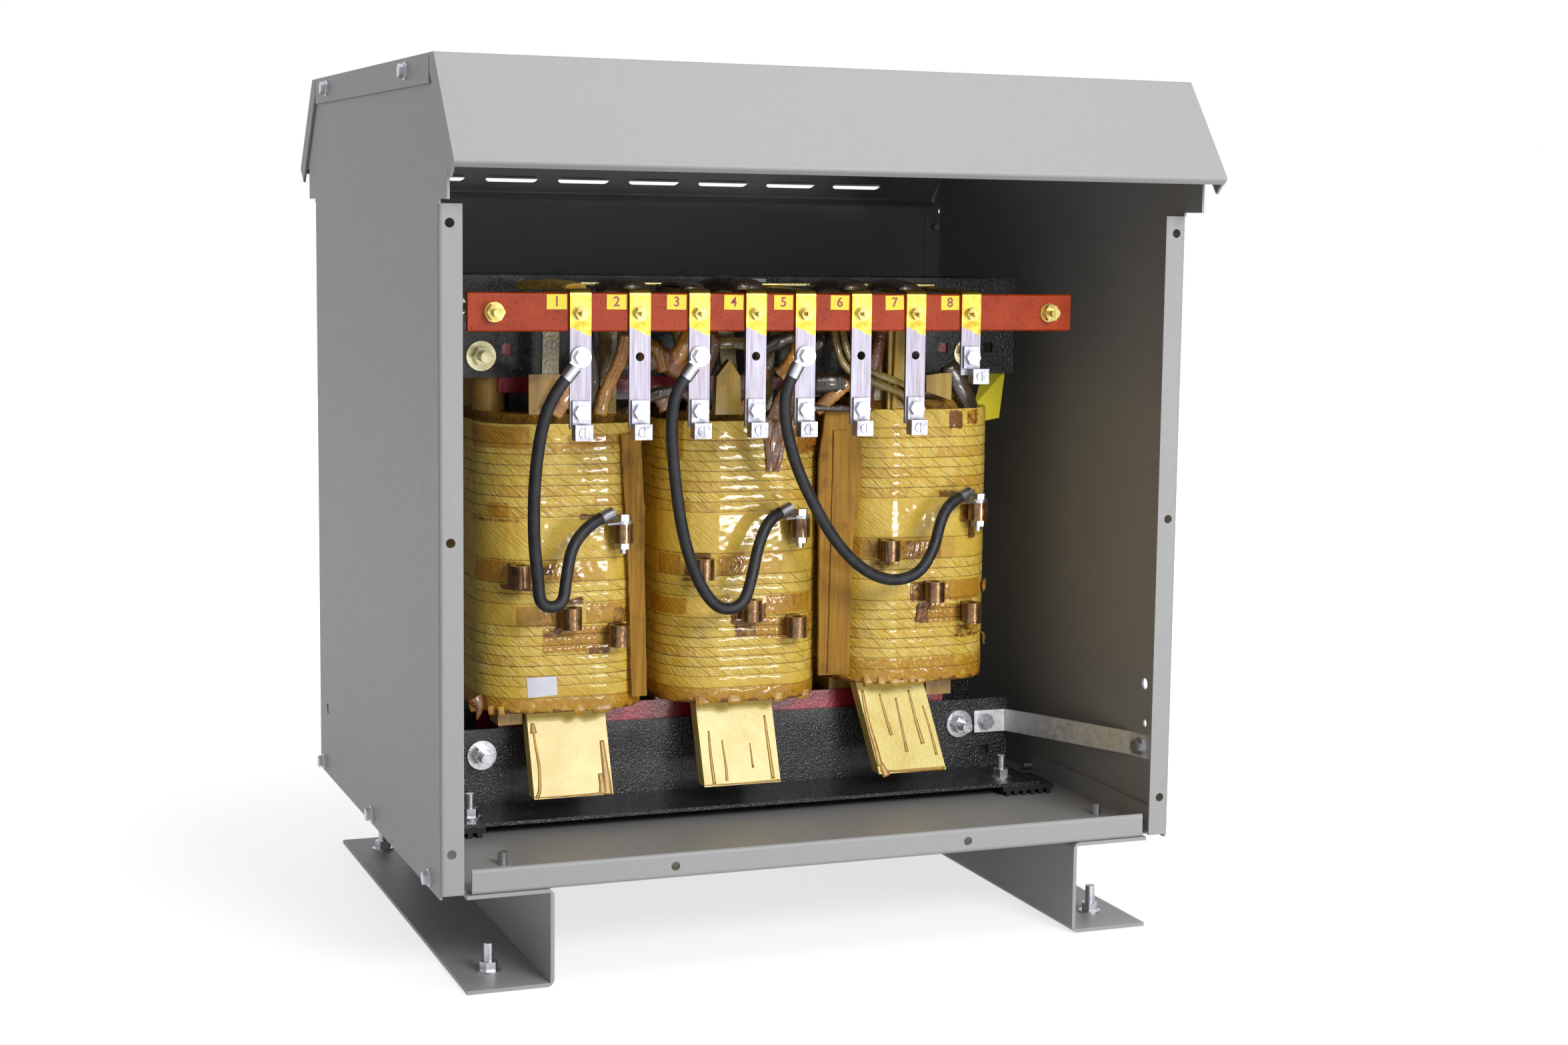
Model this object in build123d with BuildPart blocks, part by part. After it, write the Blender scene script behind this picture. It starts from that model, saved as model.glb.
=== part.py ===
from build123d import *
import math
import os

os.makedirs("parts", exist_ok=True)

# Three-phase dry type transformer in a ventilated floor enclosure, front cover off.
# X runs along the open front, -Y faces the front, Z is up, the floor is z = 0.

# ---- driving dimensions, mm ----
case_width = 620.0
case_depth = 498.0
sheet = 2.0
bend = 3.0
flange = 18.0
foot_height = 77.0
foot_width = 68.0
foot_steel = 3.0
foot_inset = 20.0
pan_flange = 20.0
roof_height = 705.0
roof_fall = 79.0
roof_overhang = 61.5
roof_top_inset = 3.0
ear_drop = 27.0
ear_step = 29.0
ear_tip = 9.2
ear_corner = 8.0
ear_reach = 51.0
roof_end_flange = 22.0
roof_slope_flange = 19.0
roof_hem = 7.0
fit = 0.3
hole_clearance = 0.4

core_y = 32.0
side_room = 114.0
leg_width = 76.0
stack = 80.0
pad_height = 9.0
core_lift = 7.0
core_height = 414.0
clamp_steel = 3.0
foot_reach = 70.6
barrier_board = 2.0

coil_side_gap = 15.0
coil_depth = 196.0
coil_corner = 45.0
coil_foot_gap = 5.0
coil_bore_gap = 4.3
crown_inset = 9.0
crown_height = 7.0
right_coil_lift = 8.0
right_coil_shift = 4.0

bar_front = 138.0
bar_thickness = 6.4
bar_height = 31.0
bar_drop = 12.0
strap_width = 17.5
strap_thickness = 3.0
cable_diameter = 10.0

# ---- places worked out from them ----
half_width = case_width / 2
half_depth = case_depth / 2
inside = half_width - sheet
panel_bottom = foot_height - sheet
pan_top = foot_height + sheet
foot_gauge = half_width - foot_inset - foot_width
ear_height = roof_height - roof_fall
side_height = ear_height - ear_drop
roof_depth = case_depth + 2 * roof_overhang
roof_top_depth = case_depth - 2 * roof_top_inset

lower_clamp_bottom = pan_top + pad_height
core_bottom = lower_clamp_bottom + core_lift
core_top = core_bottom + core_height
leg_pitch = half_width - side_room - leg_width / 2
core_length = 2 * leg_pitch + leg_width
core_front = core_y - stack / 2
board_front = core_front - barrier_board
clamp_front = board_front - clamp_steel
clamp_back = 2 * core_y - clamp_front
yoke_height = leg_width
yoke_bottom_top = core_bottom + yoke_height
window_width = leg_pitch - leg_width
window_height = core_height - 2 * yoke_height

coil_width = leg_pitch - coil_side_gap
coil_front = core_y - coil_depth / 2
coil_bottom = yoke_bottom_top + coil_foot_gap
coil_height = window_height - coil_foot_gap - right_coil_lift - crown_height
coil_top = coil_bottom + coil_height
crown_top = coil_top + crown_height
left_x = -leg_pitch
middle_x = 0.0
right_x = leg_pitch + right_coil_shift

bar_face = -bar_front
bar_bottom = core_top - bar_drop
bar_top = bar_bottom + bar_height
strap_face = bar_face - strap_thickness
strap_top = bar_top + strap_thickness


def save(piece, name):
    piece.label = name
    export_step(piece, f"parts/{name}.step")


# ---- fasteners, each standing on its seat plane with the head towards +Z ----
def make_bolt(shank, length, flats, head, washer_size=0.0, washer_thickness=0.0):
    with BuildPart() as bolt:
        if washer_size > 0:
            Cylinder(washer_size / 2, washer_thickness, align=(Align.CENTER, Align.CENTER, Align.MIN))
        with BuildSketch(Plane.XY.offset(washer_thickness)):
            RegularPolygon(flats / 2, 6, major_radius=False)
        extrude(amount=head)
        Cylinder(shank / 2, length, align=(Align.CENTER, Align.CENTER, Align.MAX))
    return bolt.part


def make_nut(bore, flats, height):
    with BuildPart() as nut:
        with BuildSketch():
            RegularPolygon(flats / 2, 6, major_radius=False)
            Circle(bore / 2, mode=Mode.SUBTRACT)
        extrude(amount=height)
    return nut.part


def make_washer(bore, size, thickness):
    with BuildPart() as ring:
        with BuildSketch():
            Circle(size / 2)
            Circle(bore / 2, mode=Mode.SUBTRACT)
        extrude(amount=thickness)
    return ring.part


def make_rod(diameter, length):
    with BuildPart() as rod:
        Cylinder(diameter / 2, length, align=(Align.CENTER, Align.CENTER, Align.MIN))
    return rod.part


def facing(x, y, z, direction):
    return Plane(origin=(x, y, z), z_dir=direction)


def facing_front(x, y, z):
    return Plane(origin=(x, y, z), x_dir=(1, 0, 0), z_dir=(0, -1, 0))


def facing_back(x, y, z):
    return Plane(origin=(x, y, z), x_dir=(-1, 0, 0), z_dir=(0, 1, 0))


# ---- enclosure: screws that hold the sheets ----
screw_shank = 6.0
screw_length = 12.0
screw_flats = 9.5
screw_head = 4.5
screw_washer = 14.0
screw_washer_thickness = 1.5
screw_hole = screw_shank / 2 + hole_clearance
cover_hole = screw_shank / 2 + 0.6

panel_screw_z = panel_bottom + 9.0
panel_screw_pitch = 220.0
panel_screw_offset = 8.0
panel_screw_ys = [panel_screw_offset + k * panel_screw_pitch for k in (-1, 0, 1)]
roof_screw_z = roof_height - 10.0
roof_screw_pitch = 326.0
roof_screw_offset = 12.0
roof_screw_ys = [roof_screw_offset + k * roof_screw_pitch / 2 for k in (-1, 1)]
cover_hole_x = half_width - 8.5
cover_hole_low = panel_bottom + 35.0
cover_hole_high = side_height - 17.0
cover_hole_zs = [cover_hole_low, (cover_hole_low + cover_hole_high) / 2, cover_hole_high]
pan_hole_x = 125.0
pan_hole_z = pan_top + 7.5
ground_hole_y = -half_depth + 44.5
ground_hole_z = lower_clamp_bottom + 57.0

# ---- roof hood: one folded sheet ----
slope_run = (roof_depth - roof_top_depth) / 2
slope_fall = roof_height - ear_height
slope_length = math.hypot(slope_run, slope_fall)
slope_y = slope_run / slope_length
slope_z = -slope_fall / slope_length
roof_half_width = half_width + fit + sheet
eave = (roof_depth / 2, ear_height)
ridge = (roof_top_depth / 2, roof_height)
relief = 2.0


def inward(point, distance):
    return (point[0] + slope_z * distance, point[1] - slope_y * distance)


hem_tip = inward(eave, roof_hem)
flange_tip = inward(eave, roof_slope_flange)
flange_root_y = ridge[0] - 14.0
flange_inner = inward(ridge, roof_slope_flange)
flange_root_z = flange_inner[1] + (flange_root_y - flange_inner[0]) * slope_z / slope_y

with BuildPart() as roof_hood:
    with BuildSketch(Plane.YZ.offset(-roof_half_width)):
        with BuildLine():
            hood_line = FilletPolyline(
                (-hem_tip[0], hem_tip[1]),
                (-eave[0], eave[1]),
                (-ridge[0], ridge[1]),
                ridge,
                eave,
                hem_tip,
                radius=bend,
            )
            offset(hood_line, amount=sheet, side=Side.RIGHT)
        make_face()
    extrude(amount=2 * roof_half_width)
    for side in (-1, 1):
        with BuildSketch(Plane.YZ.offset(side * roof_half_width)):
            with Locations((0, roof_height - sheet / 2 - roof_end_flange / 2)):
                Rectangle(2 * (flange_root_y - relief), roof_end_flange - sheet)
            for end in (-1, 1):
                with BuildLine():
                    Polyline(
                        (end * (ridge[0] - bend / 2), ridge[1] - bend / 2),
                        (end * (eave[0] - bend / 2), eave[1]),
                        (end * flange_tip[0], flange_tip[1]),
                        (end * flange_root_y, flange_root_z),
                        (end * flange_root_y, ridge[1] - bend / 2),
                        close=True,
                    )
                make_face()
            with Locations(*[(y, roof_screw_z) for y in roof_screw_ys]):
                Circle(screw_hole, mode=Mode.SUBTRACT)
        extrude(amount=-side * sheet)
save(roof_hood.part, "roof_hood")

# ---- side panels: folded sheet with ears under the roof ----
panel_top = roof_height - sheet - fit
slope_gap = sheet + fit
slope_line = inward(ridge, slope_gap)
crown_y = slope_line[0] + (panel_top - slope_line[1]) * slope_y / slope_z
ear_y = half_depth + ear_step
ear_end_y = half_depth + ear_reach
ear_end_z = slope_line[1] + (ear_end_y - slope_line[0]) * slope_z / slope_y
ear_bottom = ear_end_z - ear_tip
wire_hole = 5.0
wire_hole_y = half_depth - 44.0


def make_side_panel(side, holes):
    edge_x = side * half_width
    with BuildPart() as panel:
        # outline of the flat wall above and below the folded stretch
        with BuildSketch(Plane.YZ.offset(edge_x)):
            with BuildLine():
                Polyline(
                    (-half_depth + bend, panel_bottom),
                    (half_depth - bend, panel_bottom),
                    (half_depth - bend, side_height - bend),
                    (half_depth, side_height - bend),
                    (half_depth, side_height),
                    (ear_y, side_height),
                    (ear_y, ear_bottom),
                    (ear_end_y, ear_bottom),
                    (ear_end_y, ear_end_z),
                    (crown_y, panel_top),
                    (-crown_y, panel_top),
                    (-ear_end_y, ear_end_z),
                    (-ear_end_y, ear_bottom),
                    (-ear_y, ear_bottom),
                    (-ear_y, side_height),
                    (-half_depth, side_height),
                    (-half_depth, side_height - bend),
                    (-half_depth + bend, side_height - bend),
                    close=True,
                )
            wall = make_face()
            corners = [v for v in wall.vertices() if abs(abs(v.Y) - ear_y) < 0.01]
            corners = [v for v in corners if abs(v.Z - side_height) < 0.01]
            fillet(corners, ear_corner)
        extrude(amount=-side * sheet)
        # front and back flanges with their bends
        with BuildSketch(Plane.XY.offset(panel_bottom + bend)):
            with Locations((edge_x - side * flange / 2, 0)):
                outer = Rectangle(flange, case_depth)
            fillet([v for v in outer.vertices() if abs(v.X - edge_x) < 0.01], bend)
            with Locations((edge_x - side * (sheet + flange / 2), 0)):
                inner = Rectangle(flange, case_depth - 2 * sheet, mode=Mode.PRIVATE)
            add(inner, mode=Mode.SUBTRACT)
        extrude(amount=side_height - 2 * bend - panel_bottom)
        # bottom flange that carries the pan
        with BuildSketch(Plane.XY.offset(panel_bottom)):
            with Locations((edge_x - side * flange / 2, 0)):
                Rectangle(flange, case_depth - 2 * flange)
        extrude(amount=sheet)
        with Locations(*[facing_front(side * cover_hole_x, -half_depth, z) for z in cover_hole_zs]):
            Cylinder(cover_hole, 4 * sheet, mode=Mode.SUBTRACT)
        with Locations(*[facing_front(side * cover_hole_x, half_depth, z) for z in cover_hole_zs]):
            Cylinder(screw_hole, 4 * sheet, mode=Mode.SUBTRACT)
        screw_places = [(y, panel_screw_z, screw_hole) for y in panel_screw_ys]
        screw_places += [(y, roof_screw_z, screw_hole) for y in roof_screw_ys]
        for y, z, radius in screw_places + holes:
            with Locations(facing(edge_x, y, z, (1, 0, 0))):
                Cylinder(radius, 4 * sheet, mode=Mode.SUBTRACT)
    return panel.part


left_holes = [(wire_hole_y + 5.0, panel_bottom + 61.4, wire_hole)]
right_holes = [
    (-wire_hole_y, ground_hole_z + 54.0, wire_hole),
    (-wire_hole_y - 2.0, ground_hole_z + 20.0, screw_hole),
    (ground_hole_y, ground_hole_z, screw_hole),
]
save(make_side_panel(-1, left_holes), "left_side_panel")
save(make_side_panel(1, right_holes), "right_side_panel")

# ---- floor pan: tray on the two feet ----
pan_side_gap = 6.0
pan_corner_gap = 7.0
pan_front_half = half_width - flange - pan_side_gap
pan_side_half = half_depth - sheet - pan_corner_gap
floor_screw_y = clamp_back + foot_reach + 23.4
floor_screw_xs = (foot_gauge + 61.0, foot_gauge + 21.0)
floor_screw = 7.9
floor_screw_hole = floor_screw / 2 + hole_clearance
floor_screw_head = 5.0
floor_screw_flats = 12.7
pad_bolt_x = foot_gauge + 21.0
pad_bolt_reach = stack / 2 + 52.0
pad_bolt = 7.9
pad_bolt_hole = pad_bolt / 2 + hole_clearance
pad_bolt_ys = [core_y - pad_bolt_reach, core_y + pad_bolt_reach]
# the two feet are one part, the second turned half round
floor_screw_places = []
for turn in (-1, 1):
    floor_screw_places.append((turn * floor_screw_xs[0], -floor_screw_y if turn > 0 else floor_screw_y))
    floor_screw_places.append((turn * floor_screw_xs[1], floor_screw_y if turn > 0 else -floor_screw_y))

with BuildPart() as floor_pan:
    with BuildSketch(Plane.YZ.offset(-pan_front_half)):
        with Locations((0, foot_height + pan_flange / 2)):
            tray = Rectangle(case_depth, pan_flange)
        fillet([v for v in tray.vertices() if v.Z < foot_height + 1], bend)
        with Locations((0, pan_top + pan_flange / 2)):
            Rectangle(case_depth - 2 * sheet, pan_flange, mode=Mode.SUBTRACT)
    extrude(amount=2 * pan_front_half)
    with BuildSketch(Plane.XZ.offset(-pan_side_half)):
        with Locations((0, foot_height + pan_flange / 2)):
            tray = Rectangle(2 * inside, pan_flange)
        fillet([v for v in tray.vertices() if v.Z < foot_height + 1], bend)
        with Locations((0, pan_top + pan_flange / 2)):
            Rectangle(2 * (inside - sheet), pan_flange, mode=Mode.SUBTRACT)
    extrude(amount=2 * pan_side_half)
    for end, radius in ((-1, cover_hole), (1, screw_hole)):
        with Locations(*[facing_front(x, end * half_depth, pan_hole_z) for x in (-pan_hole_x, pan_hole_x)]):
            Cylinder(radius, 4 * sheet, mode=Mode.SUBTRACT)
    for side in (-1, 1):
        with Locations(*[facing(side * inside, y, panel_screw_z, (1, 0, 0)) for y in panel_screw_ys]):
            Cylinder(screw_hole, 4 * sheet, mode=Mode.SUBTRACT)
    with Locations(*[(x, y, pan_top) for x, y in floor_screw_places]):
        Cylinder(floor_screw_hole, 4 * sheet, mode=Mode.SUBTRACT)
    with Locations(*[(x, y, pan_top) for x in (-pad_bolt_x, pad_bolt_x) for y in pad_bolt_ys]):
        Cylinder(pad_bolt_hole, 4 * sheet, mode=Mode.SUBTRACT)
save(floor_pan.part, "floor_pan")

# ---- feet: two steel channels, open outwards, slotted for the floor studs ----
slot_length = 20.0
slot_width = 9.0
slot_x = foot_gauge + 40.0
slot_y = half_depth - 46.0


def make_foot(side):
    with BuildPart() as foot:
        with BuildSketch(Plane.XZ.offset(-half_depth)):
            with Locations((side * (foot_gauge + foot_width / 2), foot_height / 2)):
                web = Rectangle(foot_width, foot_height)
            fillet([v for v in web.vertices() if abs(v.X) < foot_gauge + 1], 2 * foot_steel)
            with Locations((side * (foot_gauge + foot_steel + foot_width / 2), foot_height / 2)):
                hollow = Rectangle(foot_width, foot_height - 2 * foot_steel, mode=Mode.PRIVATE)
            add(hollow, mode=Mode.SUBTRACT)
        extrude(amount=case_depth)
        for y in (-slot_y, slot_y):
            with BuildSketch(Plane.XY):
                with Locations((side * slot_x, y)):
                    SlotOverall(slot_length, slot_width)
            extrude(amount=foot_steel, mode=Mode.SUBTRACT)
        near = [(x, y, foot_height) for x, y in floor_screw_places if x * side > 0]
        with Locations(*near):
            Cylinder(floor_screw_hole, 4 * foot_steel, mode=Mode.SUBTRACT)
        with Locations(*[(side * pad_bolt_x, y, foot_height) for y in pad_bolt_ys]):
            Cylinder(pad_bolt_hole, 4 * foot_steel, mode=Mode.SUBTRACT)
    return foot.part


save(make_foot(-1), "left_foot")
save(make_foot(1), "right_foot")

# floor studs that stand in the slots, cut off level with the floor
stud_size = 7.9
stud_length = 26.0
stud_flats = 12.7
stud_nut = 6.8
stud_washer = 19.0
stud_washer_thickness = 1.6
stud_places = [(x, y) for x in (-slot_x, slot_x) for y in (-slot_y, slot_y)]
washer_top = foot_steel + stud_washer_thickness

stud = make_rod(stud_size, stud_length)
stud_ring = make_washer(slot_width, stud_washer, stud_washer_thickness)
stud_nut_part = make_nut(stud_size, stud_flats, stud_nut)
with BuildPart() as anchor_studs:
    with Locations(*[(x, y, 0) for x, y in stud_places]):
        add(stud)
save(anchor_studs.part, "anchor_studs")
with BuildPart() as anchor_nuts:
    with Locations(*[(x, y, foot_steel) for x, y in stud_places]):
        add(stud_ring)
    with Locations(*[(x, y, washer_top) for x, y in stud_places]):
        add(stud_nut_part)
save(anchor_nuts.part, "anchor_nuts")

# bolts that rise through foot and pan into the case
floor_screw_part = make_bolt(floor_screw, foot_steel + sheet + 10.0, floor_screw_flats, floor_screw_head)
with BuildPart() as foot_joint_bolts:
    with Locations(*[facing(x, y, foot_height - foot_steel, (0, 0, -1)) for x, y in floor_screw_places]):
        add(floor_screw_part)
save(foot_joint_bolts.part, "foot_joint_bolts")

# ---- back cover: flat sheet that folds out and back in under the roof, with vents ----
cover_half = inside - 1.0
cover_fold_z = side_height + 3.0
cover_reach = 18.0
cover_nose_z = cover_fold_z + 6.0
cover_rake = 73.0
vent_length = 50.0
vent_width = 10.0
vent_pitch = 69.5
vent_middle = 12.5
vent_count = 7
vent_rows = (17.0, 36.0)
cover_inner = half_depth
cover_nose = (cover_inner + cover_reach, cover_nose_z)
rake = math.sqrt(0.5)

with BuildPart() as back_cover:
    with BuildSketch(Plane.YZ.offset(-cover_half)):
        with BuildLine():
            cover_line = FilletPolyline(
                (cover_inner, pan_top),
                (cover_inner, cover_fold_z),
                cover_nose,
                (cover_nose[0] - rake * cover_rake, cover_nose[1] + rake * cover_rake),
                radius=bend / 2,
            )
            offset(cover_line, amount=sheet, side=Side.RIGHT)
        make_face()
    extrude(amount=2 * cover_half)
    for along in vent_rows:
        row = (cover_nose[0] - rake * along, cover_nose[1] + rake * along)
        with BuildSketch(Plane(origin=(vent_middle, row[0], row[1]), x_dir=(1, 0, 0), z_dir=(0, rake, rake))):
            with GridLocations(vent_pitch, 0, vent_count, 1):
                SlotOverall(vent_length, vent_width)
        extrude(amount=3 * sheet, both=True, mode=Mode.SUBTRACT)
    back_places = [(side * cover_hole_x, z) for side in (-1, 1) for z in cover_hole_zs]
    back_places += [(-pan_hole_x, pan_hole_z), (pan_hole_x, pan_hole_z)]
    with Locations(*[facing_back(x, cover_inner, z) for x, z in back_places]):
        Cylinder(screw_hole, 4 * sheet, mode=Mode.SUBTRACT)
save(back_cover.part, "back_cover")

# ---- sheet screws of roof, side panels and back cover ----
sheet_screw = make_bolt(
    screw_shank, screw_length, screw_flats, screw_head, screw_washer, screw_washer_thickness
)
with BuildPart() as case_screws:
    for side in (-1, 1):
        with Locations(*[facing(side * roof_half_width, y, roof_screw_z, (side, 0, 0)) for y in roof_screw_ys]):
            add(sheet_screw)
        with Locations(*[facing(side * half_width, y, panel_screw_z, (side, 0, 0)) for y in panel_screw_ys]):
            add(sheet_screw)
    with Locations(*[facing_back(x, cover_inner + sheet, z) for x, z in back_places]):
        add(sheet_screw)
save(case_screws.part, "case_screws")

# ---- core: three legs and two yokes of stacked laminations ----
core_middle_z = core_bottom + core_height / 2

with BuildPart() as core_laminations:
    with BuildSketch(Plane.XZ.offset(-core_front)):
        with Locations((0, core_middle_z)):
            Rectangle(core_length, core_height)
            with GridLocations(leg_pitch, 0, 2, 1):
                Rectangle(window_width, window_height, mode=Mode.SUBTRACT)
    extrude(amount=-stack)
save(core_laminations.part, "core_laminations")

# ---- core clamps, barrier boards and their bolts ----
lower_clamp_web = 67.0
upper_clamp_web = 85.0
lower_clamp_top = lower_clamp_bottom + lower_clamp_web
clamp_half = pad_bolt_x + 27.0
upper_clamp_top = core_top + 29.0
upper_clamp_bottom = upper_clamp_top - upper_clamp_web
upper_clamp_half = clamp_half - 2.0
upper_clamp_reach = 30.0
clamp_bolt = 9.5
clamp_bolt_hole = clamp_bolt / 2 + hole_clearance
clamp_bolt_x = core_length / 2 + 25.5
lower_bolt_z = lower_clamp_bottom + 45.0
upper_bolt_z = core_top - 38.0
square_hole = 9.0
upper_square_z = core_top - 33.0
lower_square_z = lower_clamp_bottom + 19.0
bar_stud = 7.9
bar_stud_x = upper_clamp_half - 27.0
bar_stud_z = bar_bottom + bar_height / 2
bar_half = bar_stud_x + 21.0
ground_bolt = 6.4
ground_bolt_x = clamp_bolt_x + 25.5
ground_bolt_z = lower_clamp_bottom + 46.0


def make_clamp(front, bottom, top, half, reach, foot_at_bottom, round_holes, square_holes):
    # an angle iron: upright web against the core, one flange along its edge
    facing_sign = -1 if front else 1
    web_y = clamp_front if front else 2 * core_y - clamp_front
    with BuildPart() as clamp:
        with BuildSketch(Plane.YZ.offset(-half)):
            with Locations((web_y - facing_sign * clamp_steel / 2, (bottom + top) / 2)):
                Rectangle(clamp_steel, top - bottom)
            if foot_at_bottom:
                with Locations((web_y + facing_sign * reach / 2, bottom + clamp_steel / 2)):
                    Rectangle(reach, clamp_steel)
            else:
                with Locations((web_y - facing_sign * reach / 2, top - clamp_steel / 2)):
                    Rectangle(reach, clamp_steel)
        extrude(amount=2 * half)
        for x, z, radius in round_holes:
            with Locations(facing_front(x, web_y, z)):
                Cylinder(radius, 4 * clamp_steel, mode=Mode.SUBTRACT)
        for x, z in square_holes:
            with Locations((x, web_y, z)):
                Box(square_hole, 4 * clamp_steel, square_hole, mode=Mode.SUBTRACT)
        if foot_at_bottom:
            foot_y = pad_bolt_ys[0] if front else pad_bolt_ys[1]
            with Locations((-pad_bolt_x, foot_y, bottom), (pad_bolt_x, foot_y, bottom)):
                Cylinder(pad_bolt_hole, 4 * clamp_steel, mode=Mode.SUBTRACT)
    return clamp.part


bolt_xs = (-clamp_bolt_x, clamp_bolt_x)
lower_round = [(x, lower_bolt_z, clamp_bolt_hole) for x in bolt_xs]
upper_round = [(x, upper_bolt_z, clamp_bolt_hole) for x in bolt_xs]
bar_round = [(x, bar_stud_z, bar_stud / 2 + hole_clearance) for x in (-bar_stud_x, bar_stud_x)]
ground_round = [(ground_bolt_x, ground_bolt_z, ground_bolt / 2 + hole_clearance)]
lower_square = [(side * ground_bolt_x, lower_square_z) for side in (-1, 1)]
upper_square_xs = (clamp_bolt_x - 22.5, clamp_bolt_x + 21.5)
upper_square = [(side * x, upper_square_z) for side in (-1, 1) for x in upper_square_xs]
save(make_clamp(True, lower_clamp_bottom, lower_clamp_top, clamp_half, foot_reach, True,
                lower_round + ground_round, lower_square), "lower_clamp_front")
save(make_clamp(False, lower_clamp_bottom, lower_clamp_top, clamp_half, foot_reach, True,
                lower_round, lower_square), "lower_clamp_back")
save(make_clamp(True, upper_clamp_bottom, upper_clamp_top, upper_clamp_half, upper_clamp_reach, False,
                upper_round + bar_round, upper_square), "upper_clamp_front")
save(make_clamp(False, upper_clamp_bottom, upper_clamp_top, upper_clamp_half, upper_clamp_reach, False,
                upper_round, upper_square), "upper_clamp_back")

# crimson boards between yokes and clamps
board_half = core_length / 2 + 10.0
upper_yoke_bottom = core_top - yoke_height
board_heights = [(core_bottom - 3.0, yoke_bottom_top), (upper_yoke_bottom + 7.0, core_top - 4.0)]
with BuildPart() as yoke_barriers:
    for low, high in board_heights:
        for y in (board_front + barrier_board / 2, 2 * core_y - board_front - barrier_board / 2):
            with Locations((0, y, (low + high) / 2)):
                Box(2 * board_half, barrier_board, high - low)
save(yoke_barriers.part, "yoke_barriers")

nut_flats = 14.3
nut_height = 8.0
clamp_washer = 25.0
clamp_washer_thickness = 2.0
stud_over = 11.0
through = 2 * (core_y - clamp_front) + 2 * (clamp_washer_thickness + nut_height + stud_over)
clamp_rod = make_rod(clamp_bolt, through)
clamp_ring = make_washer(clamp_bolt, clamp_washer, clamp_washer_thickness)
clamp_nut = make_nut(clamp_bolt, nut_flats, nut_height)
rod_front = core_y - through / 2
clamp_bolt_places = [(x, z) for x in bolt_xs for z in (lower_bolt_z, upper_bolt_z)]
with BuildPart() as clamp_rods:
    with Locations(*[facing_back(x, rod_front, z) for x, z in clamp_bolt_places]):
        add(clamp_rod)
save(clamp_rods.part, "clamp_rods")
with BuildPart() as clamp_washers:
    with Locations(*[facing_front(x, clamp_front, z) for x, z in clamp_bolt_places]):
        add(clamp_ring)
    with Locations(*[facing_back(x, clamp_back, z) for x, z in clamp_bolt_places]):
        add(clamp_ring)
save(clamp_washers.part, "clamp_washers")
with BuildPart() as clamp_nuts:
    with Locations(*[facing_front(x, clamp_front - clamp_washer_thickness, z) for x, z in clamp_bolt_places]):
        add(clamp_nut)
    with Locations(*[facing_back(x, clamp_back + clamp_washer_thickness, z) for x, z in clamp_bolt_places]):
        add(clamp_nut)
save(clamp_nuts.part, "clamp_nuts")

# ---- ribbed rubber pads between pan and clamps ----
pad_length = 50.0
pad_x = pad_bolt_x + 17.0
pad_width = 47.0
pad_base = 4.5
pad_rib = 4.0
pad_pitch = 8.0
pad_front_y = clamp_front - foot_reach + pad_width / 2
pad_places = [(x, y) for x in (-pad_x, pad_x) for y in (pad_front_y, 2 * core_y - pad_front_y)]
rib_count = int(pad_length // pad_pitch)
with BuildPart() as isolation_pads:
    for x, y in pad_places:
        with Locations((x, y, lower_clamp_bottom)):
            Box(pad_length, pad_width, pad_base, align=(Align.CENTER, Align.CENTER, Align.MAX))
        with Locations((x, y, pan_top)):
            with GridLocations(pad_pitch, 0, rib_count, 1):
                Box(pad_rib, pad_width, pad_height, align=(Align.CENTER, Align.CENTER, Align.MIN))
    with Locations(*[(x, y, pan_top) for x in (-pad_bolt_x, pad_bolt_x) for y in pad_bolt_ys]):
        Cylinder(pad_bolt_hole, 4 * pad_height, mode=Mode.SUBTRACT)
save(isolation_pads.part, "isolation_pads")

pad_washer = 19.0
pad_washer_thickness = 1.6
pad_nut = 7.0
pad_stud_over = 12.0
pad_top = lower_clamp_bottom + clamp_steel
pad_grip = pad_top - (foot_height - foot_steel)
pad_bolt_part = make_bolt(
    pad_bolt, pad_grip + pad_washer_thickness + pad_nut + pad_stud_over, 12.7, 5.0
)
pad_ring = make_washer(pad_bolt, pad_washer, pad_washer_thickness)
pad_nut_part = make_nut(pad_bolt, 12.7, pad_nut)
pad_bolt_places = [(x, y) for x in (-pad_bolt_x, pad_bolt_x) for y in pad_bolt_ys]
with BuildPart() as pad_bolts:
    with Locations(*[facing(x, y, foot_height - foot_steel, (0, 0, -1)) for x, y in pad_bolt_places]):
        add(pad_bolt_part)
save(pad_bolts.part, "pad_bolts")
with BuildPart() as pad_nuts:
    with Locations(*[(x, y, pad_top) for x, y in pad_bolt_places]):
        add(pad_ring)
    with Locations(*[(x, y, pad_top + pad_washer_thickness) for x, y in pad_bolt_places]):
        add(pad_nut_part)
save(pad_nuts.part, "pad_nuts")

# ---- coils, one on each leg ----
bore_half_x = leg_width / 2 + coil_bore_gap
bore_half_y = stack / 2 + coil_bore_gap
coils = [
    ("coil_left", left_x, 0.0),
    ("coil_middle", middle_x, 0.0),
    ("coil_right", right_x, right_coil_lift),
]
for name, x, lift in coils:
    with BuildPart() as coil:
        with BuildSketch(Plane.XY.offset(coil_bottom + lift)):
            with Locations((x, core_y)):
                RectangleRounded(coil_width, coil_depth, coil_corner)
        extrude(amount=coil_height)
        with BuildSketch(Plane.XY.offset(coil_top + lift)):
            with Locations((x, core_y)):
                RectangleRounded(coil_width - 2 * crown_inset, coil_depth - 2 * crown_inset,
                                 coil_corner - crown_inset)
        extrude(amount=crown_height)
        with BuildSketch(Plane.XY.offset(coil_bottom + lift)):
            with Locations((x, core_y)):
                Rectangle(2 * bore_half_x, 2 * bore_half_y)
        extrude(amount=coil_height + crown_height, mode=Mode.SUBTRACT)
    save(coil.part, name)

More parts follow.
